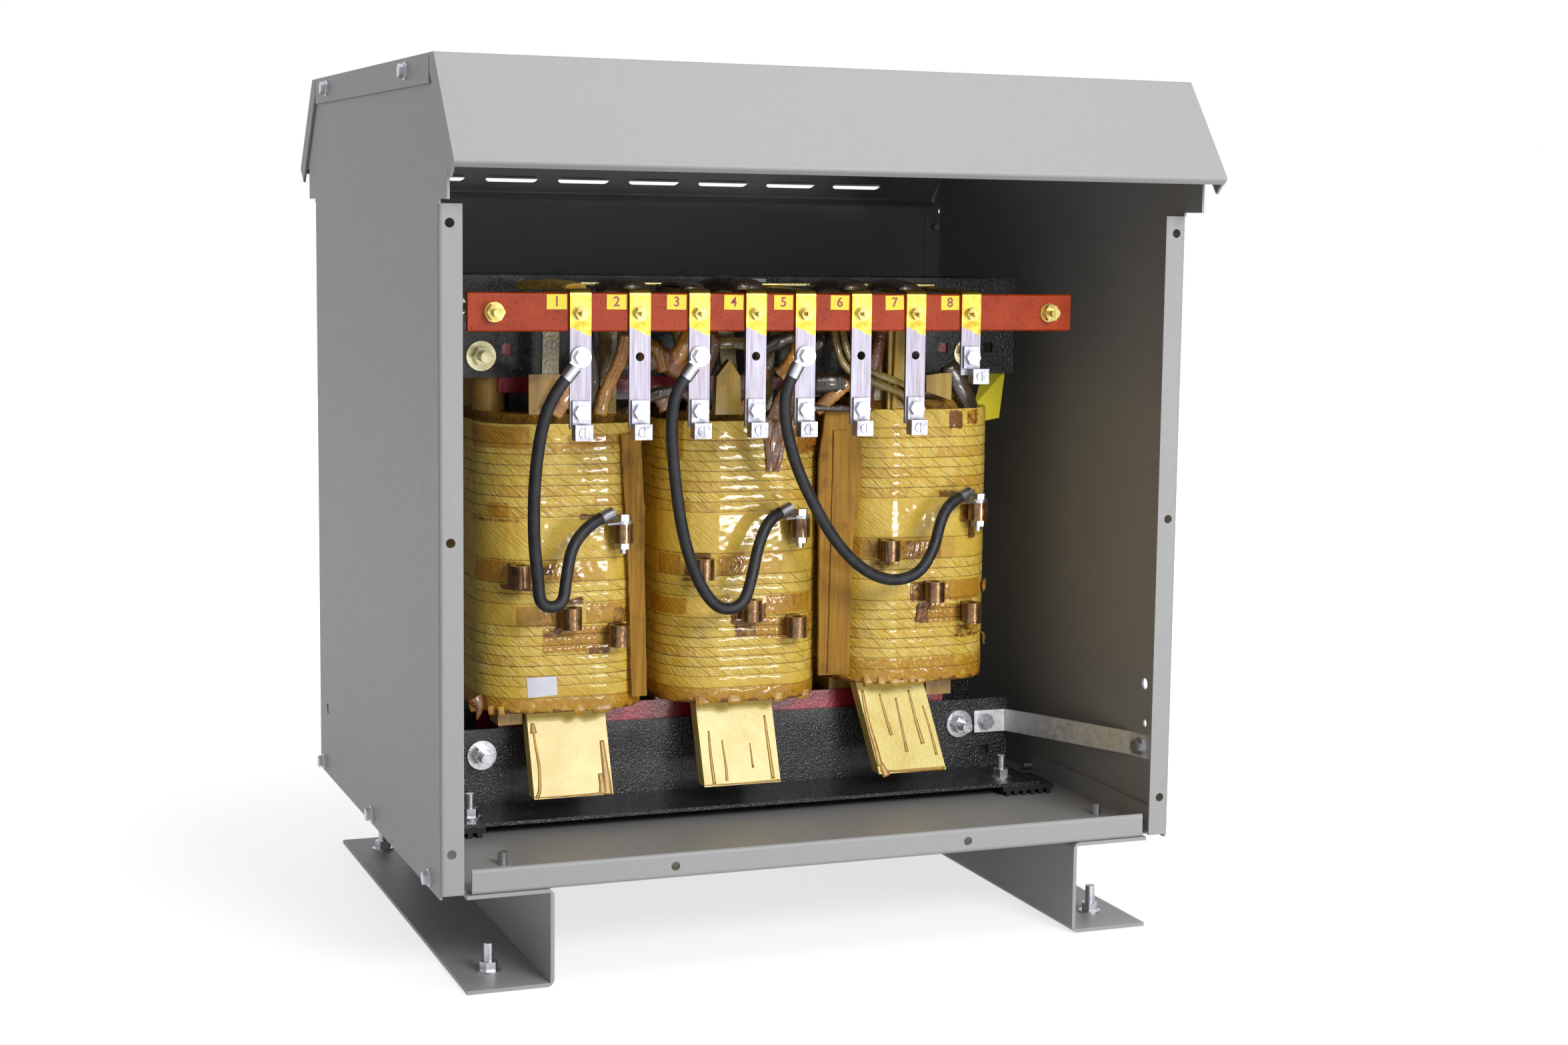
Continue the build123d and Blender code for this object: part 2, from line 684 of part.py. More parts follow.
# ---- what the coils stand on and what stands on them ----
rest_edge = 2.0
rest_spacing = 25.4
rest_width = (window_width - rest_spacing) / 2 - coil_bore_gap - rest_edge
rest_offset = bore_half_x + rest_edge + rest_width / 2
rests = [
    (left_x + rest_offset, 0.0),
    (middle_x - rest_offset, 0.0),
    (middle_x + rest_offset, 0.0),
    (right_x - rest_offset, right_coil_lift),
]
with BuildPart() as coil_rests:
    for x, lift in rests:
        with Locations((x, core_y, yoke_bottom_top)):
            Box(rest_width, stack, coil_bottom + lift - yoke_bottom_top,
                align=(Align.CENTER, Align.CENTER, Align.MIN))
save(coil_rests.part, "coil_rests")

block_depth = 27.0
block_drop_under_coil = 13.0
block_bottom = coil_bottom - block_drop_under_coil
blocks = [(left_x - 45.5, 21.0, 0.0), (right_x + 26.5, 24.0, right_coil_lift)]
with BuildPart() as coil_blocks:
    for x, width, lift in blocks:
        for facing_sign in (-1, 1):
            y = core_y + facing_sign * (core_y - clamp_front + block_depth / 2)
            with Locations((x, y, block_bottom + lift / 2)):
                Box(width, block_depth, coil_bottom + lift / 2 - block_bottom,
                    align=(Align.CENTER, Align.CENTER, Align.MIN))
save(coil_blocks.part, "coil_blocks")

post_radius = 14.0
post_top = upper_clamp_bottom + 8.0
post_x = -core_length / 2 - fit - post_radius
board_x = right_x + 20.0
board_width = 42.0
board_thickness = 5.0
board_setback = 20.0
riser_x = left_x - 20.0
riser_width = 28.0
riser_height = 33.0
riser_thickness = 1.6
with BuildPart() as coil_posts:
    for y in (core_front + post_radius, 2 * core_y - core_front - post_radius):
        with Locations((post_x, y, crown_top)):
            Cylinder(post_radius, post_top - crown_top, align=(Align.CENTER, Align.CENTER, Align.MIN))
    with Locations((board_x, clamp_front - board_setback, crown_top + right_coil_lift)):
        Box(board_width, board_thickness, upper_clamp_bottom - crown_top - right_coil_lift,
            align=(Align.CENTER, Align.CENTER, Align.MIN))
    with Locations((riser_x, coil_front + crown_inset, crown_top)):
        Box(riser_width, riser_thickness, riser_height, align=(Align.CENTER, Align.MIN, Align.MIN))
save(coil_posts.part, "coil_posts")

stick_width = 8.0
stick_thickness = 4.0
stick_inset = 10.0
stick_height = coil_height - 2 * stick_inset
stick_bottom = coil_bottom + stick_inset
sticks = [(left_x, 1, 0.0), (right_x, -1, right_coil_lift)]
with BuildPart() as barrier_sticks:
    for x, side, lift in sticks:
        corner_x = x + side * (coil_width / 2 - coil_corner)
        corner_y = coil_front + coil_corner
        reach = (coil_corner + stick_thickness / 2) * math.sqrt(0.5)
        stick_foot = (corner_x + side * reach, corner_y - reach, stick_bottom + lift)
        with Locations(Location(stick_foot, (0, 0, side * 45))):
            Box(stick_width, stick_thickness, stick_height, align=(Align.CENTER, Align.CENTER, Align.MIN))
save(barrier_sticks.part, "barrier_sticks")

# folded insulating boards that hang from under the coils, side returns towards the core
tab_thickness = 2.0
tab_return = 16.0
tab_bottom = lower_clamp_bottom + 17.0
tab_top_y = clamp_front - 31.0
tab_flare = 28.0
tabs = [
    ("insulation_tab_left", left_x + 1.0, 68.0, 0.0, 0.0),
    ("insulation_tab_middle", middle_x - 7.5, 69.0, 0.0, 0.0),
    ("insulation_tab_right", right_x - 17.0, 64.0, 13.0, right_coil_lift),
]
for name, x, width, drift, lift in tabs:
    ends = [
        (x - drift / 2, tab_top_y, coil_bottom + lift),
        (x + drift / 2, tab_top_y - tab_flare, tab_bottom),
    ]
    with BuildPart() as tab:
        for end_x, end_y, end_z in ends:
            with BuildSketch(Plane.XY.offset(end_z)):
                with Locations((end_x, end_y + tab_return / 2)):
                    Rectangle(width, tab_return)
                with Locations((end_x, end_y + tab_return / 2 + tab_thickness)):
                    Rectangle(width - 2 * tab_thickness, tab_return, mode=Mode.SUBTRACT)
        loft()
    save(tab.part, name)

# ---- terminal bar on its two long studs ----
bar_edge = 2.0
bar_back = bar_face + bar_thickness
bar_nut = 7.0
bar_stud_over = 7.0
bar_washer = 16.0
bar_washer_thickness = 1.2
strap_bolt = 5.0
strap_xs = [-172.0, -123.0, -73.0, -24.5, 18.5, 68.0, 117.0, 167.5]
long_strap_drop = 77.0
short_strap_drop = 37.0
strap_end = 13.0
short_strap_end = 15.0
short_lug_shift = 5.0
strap_bottoms = [bar_bottom - long_strap_drop] * 7 + [bar_bottom - short_strap_drop]
lug_bolt_zs = [z + strap_end for z in strap_bottoms[:-1]] + [strap_bottoms[-1] + short_strap_end]
lug_shifts = [0.0] * 7 + [short_lug_shift]
wired_xs = strap_xs[0:5:2]
strap_bolt_z = bar_stud_z - 1.0
cable_bolt_z = bar_bottom - 20.0
cable_bolt = 6.4
lug_bolt = 5.5
strap_rear = clamp_front - 37.0

with BuildPart() as terminal_bar:
    with Locations((0, bar_face + bar_thickness / 2, bar_stud_z)):
        Box(2 * bar_half, bar_thickness, bar_height)
    fillet(terminal_bar.edges().filter_by(Axis.X), bar_edge)
    with Locations(*[facing_front(x, bar_face, strap_bolt_z) for x in strap_xs]):
        Cylinder(strap_bolt / 2 + hole_clearance, 4 * bar_thickness, mode=Mode.SUBTRACT)
    with Locations(*[facing_front(x, bar_face, bar_stud_z) for x in (-bar_stud_x, bar_stud_x)]):
        Cylinder(bar_stud / 2 + hole_clearance, 4 * bar_thickness, mode=Mode.SUBTRACT)
save(terminal_bar.part, "terminal_bar")

bar_stud_front = bar_face - bar_washer_thickness - bar_nut - bar_stud_over
bar_stud_back = board_front + bar_nut + 2
bar_rod = make_rod(bar_stud, bar_stud_back - bar_stud_front)
bar_nut_part = make_nut(bar_stud, 12.7, bar_nut)
bar_ring = make_washer(bar_stud, bar_washer, bar_washer_thickness)
with BuildPart() as bar_studs:
    with Locations(*[facing_back(x, bar_stud_front, bar_stud_z) for x in (-bar_stud_x, bar_stud_x)]):
        add(bar_rod)
save(bar_studs.part, "bar_studs")
with BuildPart() as bar_nuts:
    for x in (-bar_stud_x, bar_stud_x):
        with Locations(facing_front(x, bar_face, bar_stud_z)):
            add(bar_ring)
        with Locations(
            facing_front(x, bar_face - bar_washer_thickness, bar_stud_z),
            facing_back(x, bar_back, bar_stud_z),
            facing_front(x, clamp_front, bar_stud_z),
            facing_back(x, board_front, bar_stud_z),
        ):
            add(bar_nut_part)
save(bar_nuts.part, "bar_nuts")

# ---- terminal straps: flat bars that fold back over the bar ----
for index, x in enumerate(strap_xs):
    with BuildPart() as strap:
        with BuildSketch(Plane.YZ.offset(x - strap_width / 2)):
            with BuildLine():
                strap_line = FilletPolyline(
                    (bar_face, strap_bottoms[index]), (bar_face, bar_top), (strap_rear, bar_top), radius=bar_edge
                )
                offset(strap_line, amount=strap_thickness, side=Side.LEFT)
            make_face()
        extrude(amount=strap_width)
        with Locations(facing_front(x, bar_face, strap_bolt_z)):
            Cylinder(strap_bolt / 2 + hole_clearance, 4 * strap_thickness, mode=Mode.SUBTRACT)
        with Locations(facing_front(x, bar_face, lug_bolt_zs[index])):
            Cylinder(lug_bolt / 2 + hole_clearance, 4 * strap_thickness, mode=Mode.SUBTRACT)
        if index < 7:
            with Locations(facing_front(x, bar_face, cable_bolt_z)):
                Cylinder(cable_bolt / 2 + hole_clearance, 4 * strap_thickness, mode=Mode.SUBTRACT)
    save(strap.part, f"terminal_strap_{index + 1}")

strap_nut = 4.0
strap_nut_flats = 9.5
strap_washer = 12.2
strap_washer_thickness = 1.0
strap_bolt_over = 6.5
strap_grip = bar_thickness + strap_thickness + strap_washer_thickness + strap_nut
strap_bolt_part = make_bolt(strap_bolt, strap_grip + strap_bolt_over, strap_nut_flats, 3.5)
strap_ring = make_washer(strap_bolt, strap_washer, strap_washer_thickness)
strap_nut_part = make_nut(strap_bolt, strap_nut_flats, strap_nut)
with BuildPart() as strap_bolts:
    with Locations(*[facing_back(x, bar_back, strap_bolt_z) for x in strap_xs]):
        add(strap_bolt_part)
save(strap_bolts.part, "strap_bolts")
with BuildPart() as strap_nuts:
    with Locations(*[facing_front(x, strap_face, strap_bolt_z) for x in strap_xs]):
        add(strap_ring)
    with Locations(*[facing_front(x, strap_face - strap_washer_thickness, strap_bolt_z) for x in strap_xs]):
        add(strap_nut_part)
save(strap_nuts.part, "strap_nuts")

# ---- box lugs: tang bolted to the strap, block with a wire bore and a set screw ----
tang_width = 14.4
tang_height = 18.6
tang_thickness = 3.0
block_width = 14.4
lug_block_height = 12.6
lug_block_depth = 11.4
wire_bore = 7.2
bore_wall = 1.2
set_screw = 8.4
set_screw_over = 1.0
set_screw_gap = 0.1
tang_face = strap_face - tang_thickness
block_face = strap_face - lug_block_depth
bore_y = strap_face - bore_wall - wire_bore / 2
screw_tip_y = bore_y - wire_bore / 2 - set_screw_gap
lug_places = [(x, z, shift) for x, z, shift in zip(strap_xs, lug_bolt_zs, lug_shifts)]
block_drop = tang_height / 2 + lug_block_height / 2

with BuildPart() as box_lugs:
    for x, z, shift in lug_places:
        with Locations((x, strap_face, z)):
            Box(tang_width, tang_thickness, tang_height, align=(Align.CENTER, Align.MAX, Align.CENTER))
        with Locations((x + shift, strap_face, z - block_drop)):
            Box(block_width, lug_block_depth, lug_block_height, align=(Align.CENTER, Align.MAX, Align.CENTER))
        with Locations(facing_front(x, strap_face, z)):
            Cylinder(lug_bolt / 2 + hole_clearance, 4 * tang_thickness, mode=Mode.SUBTRACT)
        with Locations((x + shift, bore_y, z - block_drop)):
            Cylinder(wire_bore / 2, lug_block_height, mode=Mode.SUBTRACT)
        with Locations(facing_front(x + shift, bore_y, z - block_drop)):
            Cylinder(set_screw / 2, lug_block_depth, align=(Align.CENTER, Align.CENTER, Align.MIN),
                     mode=Mode.SUBTRACT)
save(box_lugs.part, "box_lugs")

with BuildPart() as lug_set_screws:
    for x, z, shift in lug_places:
        with Locations(facing_front(x + shift, screw_tip_y, z - block_drop)):
            Cylinder(set_screw / 2 - set_screw_gap, screw_tip_y - block_face + set_screw_over,
                     align=(Align.CENTER, Align.CENTER, Align.MIN))
        with Locations((x + shift, block_face - set_screw_over, z - block_drop)):
            Box(1.2, 1.6, set_screw, mode=Mode.SUBTRACT)
save(lug_set_screws.part, "lug_set_screws")

lug_nut = 4.0
lug_bolt_part = make_bolt(lug_bolt, tang_thickness + strap_thickness + lug_nut + 2, 11.0, 4.5)
lug_nut_part = make_nut(lug_bolt, 9.5, lug_nut)
with BuildPart() as lug_bolts:
    with Locations(*[facing_front(x, tang_face, z) for x, z, shift in lug_places]):
        add(lug_bolt_part)
save(lug_bolts.part, "lug_bolts")

# ---- winding leads from the coils up to the straps, and the neutral rod across them ----
lead_width = 14.0
lead_thickness = 5.0
lead_feet = [left_x - 16, left_x + 34, middle_x - 40, middle_x - 14, middle_x + 14, middle_x + 40, right_x - 40]
lead_lifts = [0.0, 0.0, 0.0, 0.0, 0.0, 0.0, right_coil_lift]
with BuildPart() as winding_leads:
    for x, foot_x, lift in zip(strap_xs, lead_feet, lead_lifts):
        with BuildSketch(Plane.XZ.offset(-strap_rear)):
            with BuildLine():
                Polyline(
                    (foot_x - lead_width / 2, crown_top + lift),
                    (foot_x + lead_width / 2, crown_top + lift),
                    (x + lead_width / 2, bar_top),
                    (x - lead_width / 2, bar_top),
                    close=True,
                )
            make_face()
        extrude(amount=lead_thickness)
save(winding_leads.part, "winding_leads")

neutral_rod = 4.0
neutral_y = strap_rear - 10.0
with BuildPart() as neutral_bus:
    with Locations(Location((strap_xs[0], neutral_y, strap_top + neutral_rod / 2), (0, 90, 0))):
        Cylinder(neutral_rod / 2, strap_xs[-1] - strap_xs[0], align=(Align.CENTER, Align.CENTER, Align.MIN))
save(neutral_bus.part, "neutral_bus")

# ---- tap sleeves on the coil fronts ----
sleeve_radius = 8.8
sleeve_bore = 8.0
sleeve_height = 18.0
sleeve_y = coil_front - 11.0
sleeve_neck = 12.0
bolted_height = 16.0
# each coil's sleeves: place across the coil, height above its foot, length
side_taps = [(-46.0, 118.0, sleeve_height), (-3.0, 81.0, sleeve_height), (38.0, 65.0, sleeve_height)]
right_taps = [(-38.0, 120.0, sleeve_height), (5.0, 82.0, sleeve_height), (41.0, 62.0, sleeve_height)]
left_set = side_taps + [(41.0, 151.0, bolted_height)]
middle_set = side_taps + [(40.0, 151.0, bolted_height)]
right_set = right_taps + [(45.0, 152.0, bolted_height)]
taps = [(left_x, aside, coil_bottom + rise, height) for aside, rise, height in left_set]
taps += [(middle_x, aside, coil_bottom + rise, height) for aside, rise, height in middle_set]
taps += [(right_x, aside, coil_bottom + right_coil_lift + rise, height) for aside, rise, height in right_set]
bolted_taps = [(x + aside, z) for x, aside, z, height in taps if height == bolted_height]
with BuildPart() as tap_sleeves:
    for x, aside, z, height in taps:
        with BuildSketch(Plane.XY.offset(z - height / 2)):
            with Locations((x + aside, sleeve_y)):
                Circle(sleeve_radius)
                Rectangle(sleeve_neck, coil_corner, align=(Align.CENTER, Align.MIN))
            # the neck ends on the rounded face of its coil
            with Locations((x, core_y)):
                RectangleRounded(coil_width, coil_depth, coil_corner, mode=Mode.SUBTRACT)
            with Locations((x + aside, sleeve_y)):
                Circle(sleeve_bore / 2, mode=Mode.SUBTRACT)
        extrude(amount=height)
save(tap_sleeves.part, "tap_sleeves")

# ---- connection cables: chosen route points, tangent arcs between straight runs ----
cable_1_points = [
    (-186, -147.5, 460), (-194, -147, 450), (-203, -142, 427), (-207, -131, 380), (-204, -118, 328),
    (-198.5, -111, 298), (-196.5, -108.5, 273), (-176, -105, 271.5), (-172, -101, 296), (-166, -95, 320),
    (-149.2, -88.3, 336.4), (-138.6, -84.6, 340.5),
]
cable_2_points = [
    (-87, -147.5, 460), (-94.5, -147, 450), (-97, -141, 425), (-90, -131, 377), (-79, -121, 326),
    (-62, -113, 285), (-42, -108, 262.5), (-20, -105, 266), (-11, -100, 290), (-4, -95, 316),
    (7.8, -88.3, 336.4), (18.4, -84.6, 340.5),
]
cable_3_points = [
    (4.5, -147.5, 460), (-1, -147, 449), (1, -141, 424), (14, -133, 386), (33, -127, 352),
    (55, -120, 320), (82, -113, 294), (112, -108, 281), (140, -104, 286), (156, -99, 307),
    (164, -93, 331), (174.8, -88.3, 345.4), (185.4, -84.6, 349.5),
]


def make_cable(points):
    corners = [Vector(*p) for p in points]
    radii = []
    for before, here, after in zip(corners, corners[1:], corners[2:]):
        turn = math.radians((here - before).get_angle(after - here))
        radii.append(0.45 * min((here - before).length, (after - here).length) / math.tan(turn / 2))
    with BuildPart() as cable:
        with BuildLine():
            route = FilletPolyline(*corners, radius=radii)
        with BuildSketch(Plane(origin=route @ 0, z_dir=route % 0)):
            Circle(cable_diameter / 2)
        sweep(path=route)
    section = math.pi * cable_diameter**2 / 4
    print("cable length", round(route.length, 1), "volume ratio", round(cable.part.volume / section / route.length, 4))
    print("  radii", [round(r, 1) for r in radii])
    return cable.part


save(make_cable(cable_1_points), "cable_1")
save(make_cable(cable_2_points), "cable_2")
save(make_cable(cable_3_points), "cable_3")

# ---- ring lugs on the cable ends ----
ring_radius = 8.0
ring_thickness = 1.6
tongue_width = 9.0
barrel_radius = 5.6
barrel_length = 12.0
tap_top = bolted_height / 2


def make_ring_lug(seat, wire_end, wire_next):
    end = Vector(*wire_end)
    axis = (end - Vector(*wire_next)).normalized()
    normal = seat.z_dir
    across = end - seat.origin
    along = across - normal * across.dot(normal)
    tongue = Plane(origin=seat.origin, x_dir=along, z_dir=normal)
    with BuildPart() as lug:
        with BuildSketch(tongue):
            Circle(ring_radius)
            Rectangle(along.length - barrel_length / 3, tongue_width, align=(Align.MIN, Align.CENTER))
            Circle(cable_bolt / 2 + hole_clearance, mode=Mode.SUBTRACT)
        extrude(amount=ring_thickness)
        with BuildSketch(Plane(origin=end, z_dir=axis)):
            Circle(barrel_radius)
        extrude(amount=barrel_length)
    return lug.part


strap_seats = [facing_front(x, strap_face, cable_bolt_z) for x in wired_xs]
tap_seats = [facing(x, sleeve_y, z + tap_top, (0, 0, 1)) for x, z in bolted_taps]
ring_lugs = []
for points, strap_seat, tap_seat in zip(
    (cable_1_points, cable_2_points, cable_3_points), strap_seats, tap_seats
):
    ring_lugs.append(make_ring_lug(strap_seat, points[0], points[1]))
    ring_lugs.append(make_ring_lug(tap_seat, points[-1], points[-2]))
with BuildPart() as cable_lugs:
    for lug in ring_lugs:
        add(lug)
save(cable_lugs.part, "cable_lugs")

cable_nut = 5.0
cable_nut_flats = 11.0
cable_washer = 16.5
cable_washer_thickness = 1.2
strap_cable_bolt = make_bolt(
    cable_bolt, ring_thickness + strap_thickness + cable_nut + 2, cable_nut_flats, 5.0,
    cable_washer, cable_washer_thickness
)
tap_cable_bolt = make_bolt(
    cable_bolt, ring_thickness + bolted_height + cable_nut + 4, cable_nut_flats, 5.0,
    cable_washer, cable_washer_thickness
)
cable_nut_part = make_nut(cable_bolt, cable_nut_flats, cable_nut)
with BuildPart() as cable_bolts:
    with Locations(*[seat.offset(ring_thickness) for seat in strap_seats]):
        add(strap_cable_bolt)
    with Locations(*[seat.offset(ring_thickness) for seat in tap_seats]):
        add(tap_cable_bolt)
save(cable_bolts.part, "cable_bolts")
with BuildPart() as connection_nuts:
    with Locations(*[facing_back(x, bar_face, cable_bolt_z) for x in wired_xs]):
        add(cable_nut_part)
    with Locations(*[facing(x, sleeve_y, z - tap_top, (0, 0, -1)) for x, z in bolted_taps]):
        add(cable_nut_part)
    with Locations(*[facing_back(x, bar_face, z) for x, z, shift in lug_places]):
        add(lug_nut_part)
save(connection_nuts.part, "connection_nuts")

# ---- ground strap from the lower clamp to the right side panel ----
ground_width = 20.0
ground_thickness = 2.5
ground_bend = 6.0
ground_rise = (ground_hole_z - ground_bolt_z) / (clamp_front - ground_hole_y)
ground_seat = ground_rise * ground_width / 2
ground_plane = Plane(
    origin=(0, clamp_front - ground_seat, ground_bolt_z), x_dir=(1, 0, 0), z_dir=(0, ground_rise, 1)
)
ground_run = clamp_front - ground_hole_y
with BuildPart() as ground_strap:
    with BuildSketch(ground_plane.offset(-ground_width / 2)):
        with BuildLine():
            ground_line = FilletPolyline(
                (ground_bolt_x - 11, 0),
                (ground_bolt_x + 21, 0),
                (ground_bolt_x + 26, -18),
                (inside - 7, -ground_run + 50),
                (inside, -ground_run + 18),
                (inside, -ground_run - 11),
                radius=ground_bend,
            )
            offset(ground_line, amount=ground_thickness, side=Side.RIGHT)
        make_face()
    extrude(amount=ground_width)
    with Locations(facing_front(ground_bolt_x, clamp_front, ground_bolt_z)):
        Cylinder(ground_bolt / 2 + hole_clearance, 4 * ground_thickness, mode=Mode.SUBTRACT)
    with Locations(facing(inside, ground_hole_y, ground_hole_z, (1, 0, 0))):
        Cylinder(ground_bolt / 2 + hole_clearance, 4 * ground_thickness, mode=Mode.SUBTRACT)
save(ground_strap.part, "ground_strap")

ground_nut = 5.0
ground_bolt_part = make_bolt(
    ground_bolt, ground_thickness + clamp_steel + ground_nut + 2, 11.0, 5.0, 15.0, 1.5
)
ground_nut_part = make_nut(ground_bolt, 11.0, ground_nut)
with BuildPart() as ground_bolts:
    with Locations(facing_front(ground_bolt_x, clamp_front - ground_thickness - 2 * ground_seat, ground_bolt_z)):
        add(ground_bolt_part)
    with Locations(facing(inside - ground_thickness, ground_hole_y, ground_hole_z, (-1, 0, 0))):
        add(ground_bolt_part)
    with Locations(facing_back(ground_bolt_x, board_front, ground_bolt_z)):
        add(ground_nut_part)
    with Locations(facing(half_width, ground_hole_y, ground_hole_z, (1, 0, 0))):
        add(ground_nut_part)
save(ground_bolts.part, "ground_bolts")
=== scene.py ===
import math
import random

import bmesh
import bpy
from mathutils import Euler, Matrix, Vector, noise


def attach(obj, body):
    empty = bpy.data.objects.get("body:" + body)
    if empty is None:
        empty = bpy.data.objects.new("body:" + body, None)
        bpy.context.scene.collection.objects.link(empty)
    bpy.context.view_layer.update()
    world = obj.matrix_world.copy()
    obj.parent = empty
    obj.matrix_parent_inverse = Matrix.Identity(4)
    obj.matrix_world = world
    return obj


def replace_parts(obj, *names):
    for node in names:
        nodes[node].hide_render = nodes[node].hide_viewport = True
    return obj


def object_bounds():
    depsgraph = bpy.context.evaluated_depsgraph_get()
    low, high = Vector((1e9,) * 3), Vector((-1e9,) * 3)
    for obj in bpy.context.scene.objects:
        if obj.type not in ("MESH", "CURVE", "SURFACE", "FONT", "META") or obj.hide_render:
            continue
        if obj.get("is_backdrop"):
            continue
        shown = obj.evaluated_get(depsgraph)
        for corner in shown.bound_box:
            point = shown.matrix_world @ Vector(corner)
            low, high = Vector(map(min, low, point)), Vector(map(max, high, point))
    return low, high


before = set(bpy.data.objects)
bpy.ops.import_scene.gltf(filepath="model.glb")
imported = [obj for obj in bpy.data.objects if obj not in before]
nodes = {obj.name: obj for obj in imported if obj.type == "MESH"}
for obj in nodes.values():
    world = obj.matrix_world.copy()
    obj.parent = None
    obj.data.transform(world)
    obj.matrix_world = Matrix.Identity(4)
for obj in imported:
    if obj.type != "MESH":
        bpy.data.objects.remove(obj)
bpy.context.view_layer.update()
print("frame loaded:", len(nodes), "nodes")


# node helpers

def addNode(tree, kind, settings=None, **inputs):
    made = tree.nodes.new(kind)
    for key, value in (settings or {}).items():
        setattr(made, key, value)
    for key, value in inputs.items():
        socket = made.inputs[key.replace("_", " ")]
        if isinstance(value, bpy.types.NodeSocket):
            tree.links.new(value, socket)
        else:
            socket.default_value = value
    return made


def mapped(tree, source, scale=(1, 1, 1), shift=(0, 0, 0), turn=0.0):
    return addNode(tree, "ShaderNodeMapping", Vector=source, Scale=scale, Location=shift,
                   Rotation=(0, 0, turn)).outputs["Vector"]


def place(tree, scale=(1, 1, 1), shift=(0, 0, 0)):
    return mapped(tree, addNode(tree, "ShaderNodeTexCoord").outputs["Object"], scale, shift)


def noiseFac(tree, where, scale, detail=3.0, rough=0.5, warp=0.0):
    made = addNode(tree, "ShaderNodeTexNoise", Vector=where, Scale=scale, Detail=detail,
                   Roughness=rough, Distortion=warp)
    return made.outputs["Fac"]


def cells(tree, where, scale):
    return addNode(tree, "ShaderNodeTexVoronoi", Vector=where, Scale=scale).outputs["Distance"]


def calc(tree, how, a, b=0.0, clamp=False):
    made = tree.nodes.new("ShaderNodeMath")
    made.operation = how
    made.use_clamp = clamp
    for socket, value in zip(made.inputs, (a, b)):
        if isinstance(value, bpy.types.NodeSocket):
            tree.links.new(value, socket)
        else:
            socket.default_value = value
    return made.outputs[0]


def times(tree, a, b):
    return calc(tree, "MULTIPLY", a, b)


def plus(tree, a, b):
    return calc(tree, "ADD", a, b)


def spread(tree, value, low, high, outLow=0.0, outHigh=1.0):
    return addNode(tree, "ShaderNodeMapRange", Value=value, From_Min=low, From_Max=high,
                   To_Min=outLow, To_Max=outHigh).outputs["Result"]


def blendColor(tree, fac, a, b):
    made = tree.nodes.new("ShaderNodeMix")
    made.data_type = "RGBA"
    for socket, value in ((made.inputs[0], fac), (made.inputs[6], a), (made.inputs[7], b)):
        if isinstance(value, bpy.types.NodeSocket):
            tree.links.new(value, socket)
        else:
            socket.default_value = value if isinstance(value, float) else (*value[:3], 1.0)
    return made.outputs[2]


def axisOf(tree, where, axis):
    return addNode(tree, "ShaderNodeSeparateXYZ", Vector=where).outputs[axis]


def bump(tree, height, strength, distance):
    return addNode(tree, "ShaderNodeBump", Height=height, Strength=strength,
                   Distance=distance).outputs["Normal"]


def newMaterial(name, color=(0.5, 0.5, 0.5), rough=0.5, metal=0.0, coat=0.0, coatRough=0.1, specular=0.5):
    made = bpy.data.materials.new(name)
    made.use_nodes = True
    tree = made.node_tree
    shader = tree.nodes["Principled BSDF"]
    settings = {"Base Color": (*color, 1.0), "Roughness": rough, "Metallic": metal, "Coat Weight": coat,
                "Coat Roughness": coatRough, "Specular IOR Level": specular}
    for key, value in settings.items():
        shader.inputs[key].default_value = value
    return made, tree, shader


def wire(tree, shader, **sockets):
    for key, value in sockets.items():
        tree.links.new(value, shader.inputs[key.replace("_", " ")])


# finishes

def makeCasePaint(name, low=(0.352, 0.353, 0.354), high=(0.362, 0.363, 0.364)):
    made, tree, shader = newMaterial(name, rough=0.42, specular=0.45)
    where = place(tree)
    cloud = noiseFac(tree, where, 5.0, 4.0)
    grain = noiseFac(tree, where, 420.0, 2.0)
    shade = blendColor(tree, cloud, low, high)
    shade = blendColor(tree, spread(tree, grain, 0.3, 0.7, 0.0, 0.14), shade, (0.26, 0.262, 0.264))
    rough = spread(tree, noiseFac(tree, where, 160.0, 3.0), 0.3, 0.7, 0.42, 0.48)
    peel = noiseFac(tree, where, 650.0, 2.0)
    wire(tree, shader, Base_Color=shade, Roughness=rough, Normal=bump(tree, peel, 0.35, 0.0004))
    return made


splitHeight = 0.3   # clamp hardware is yellow above this, white below


def makePlate(name, color, rough=0.28, tint=None, tintAmount=0.0, lower=None):
    made, tree, shader = newMaterial(name, color, rough, 1.0)
    where = place(tree)
    wear = noiseFac(tree, where, 180.0, 4.0, 0.6)
    base = color
    if lower:
        above = spread(tree, axisOf(tree, where, 2), splitHeight - 0.001, splitHeight + 0.001)
        base = blendColor(tree, above, lower, color)
    worn = [c * 0.6 for c in lower or color]
    shade = blendColor(tree, spread(tree, wear, 0.35, 0.7, 0.0, 0.5), base, worn)
    if tint:
        stain = spread(tree, noiseFac(tree, where, 70.0, 3.0, 0.6, 0.6), 0.42, 0.6, 0.0, tintAmount)
        shade = blendColor(tree, stain, shade, tint)
    roughness = spread(tree, wear, 0.3, 0.75, rough * 0.75, rough * 1.6)
    wire(tree, shader, Base_Color=shade, Roughness=roughness,
         Normal=bump(tree, noiseFac(tree, where, 900.0, 2.0), 0.25, 0.0003))
    return made


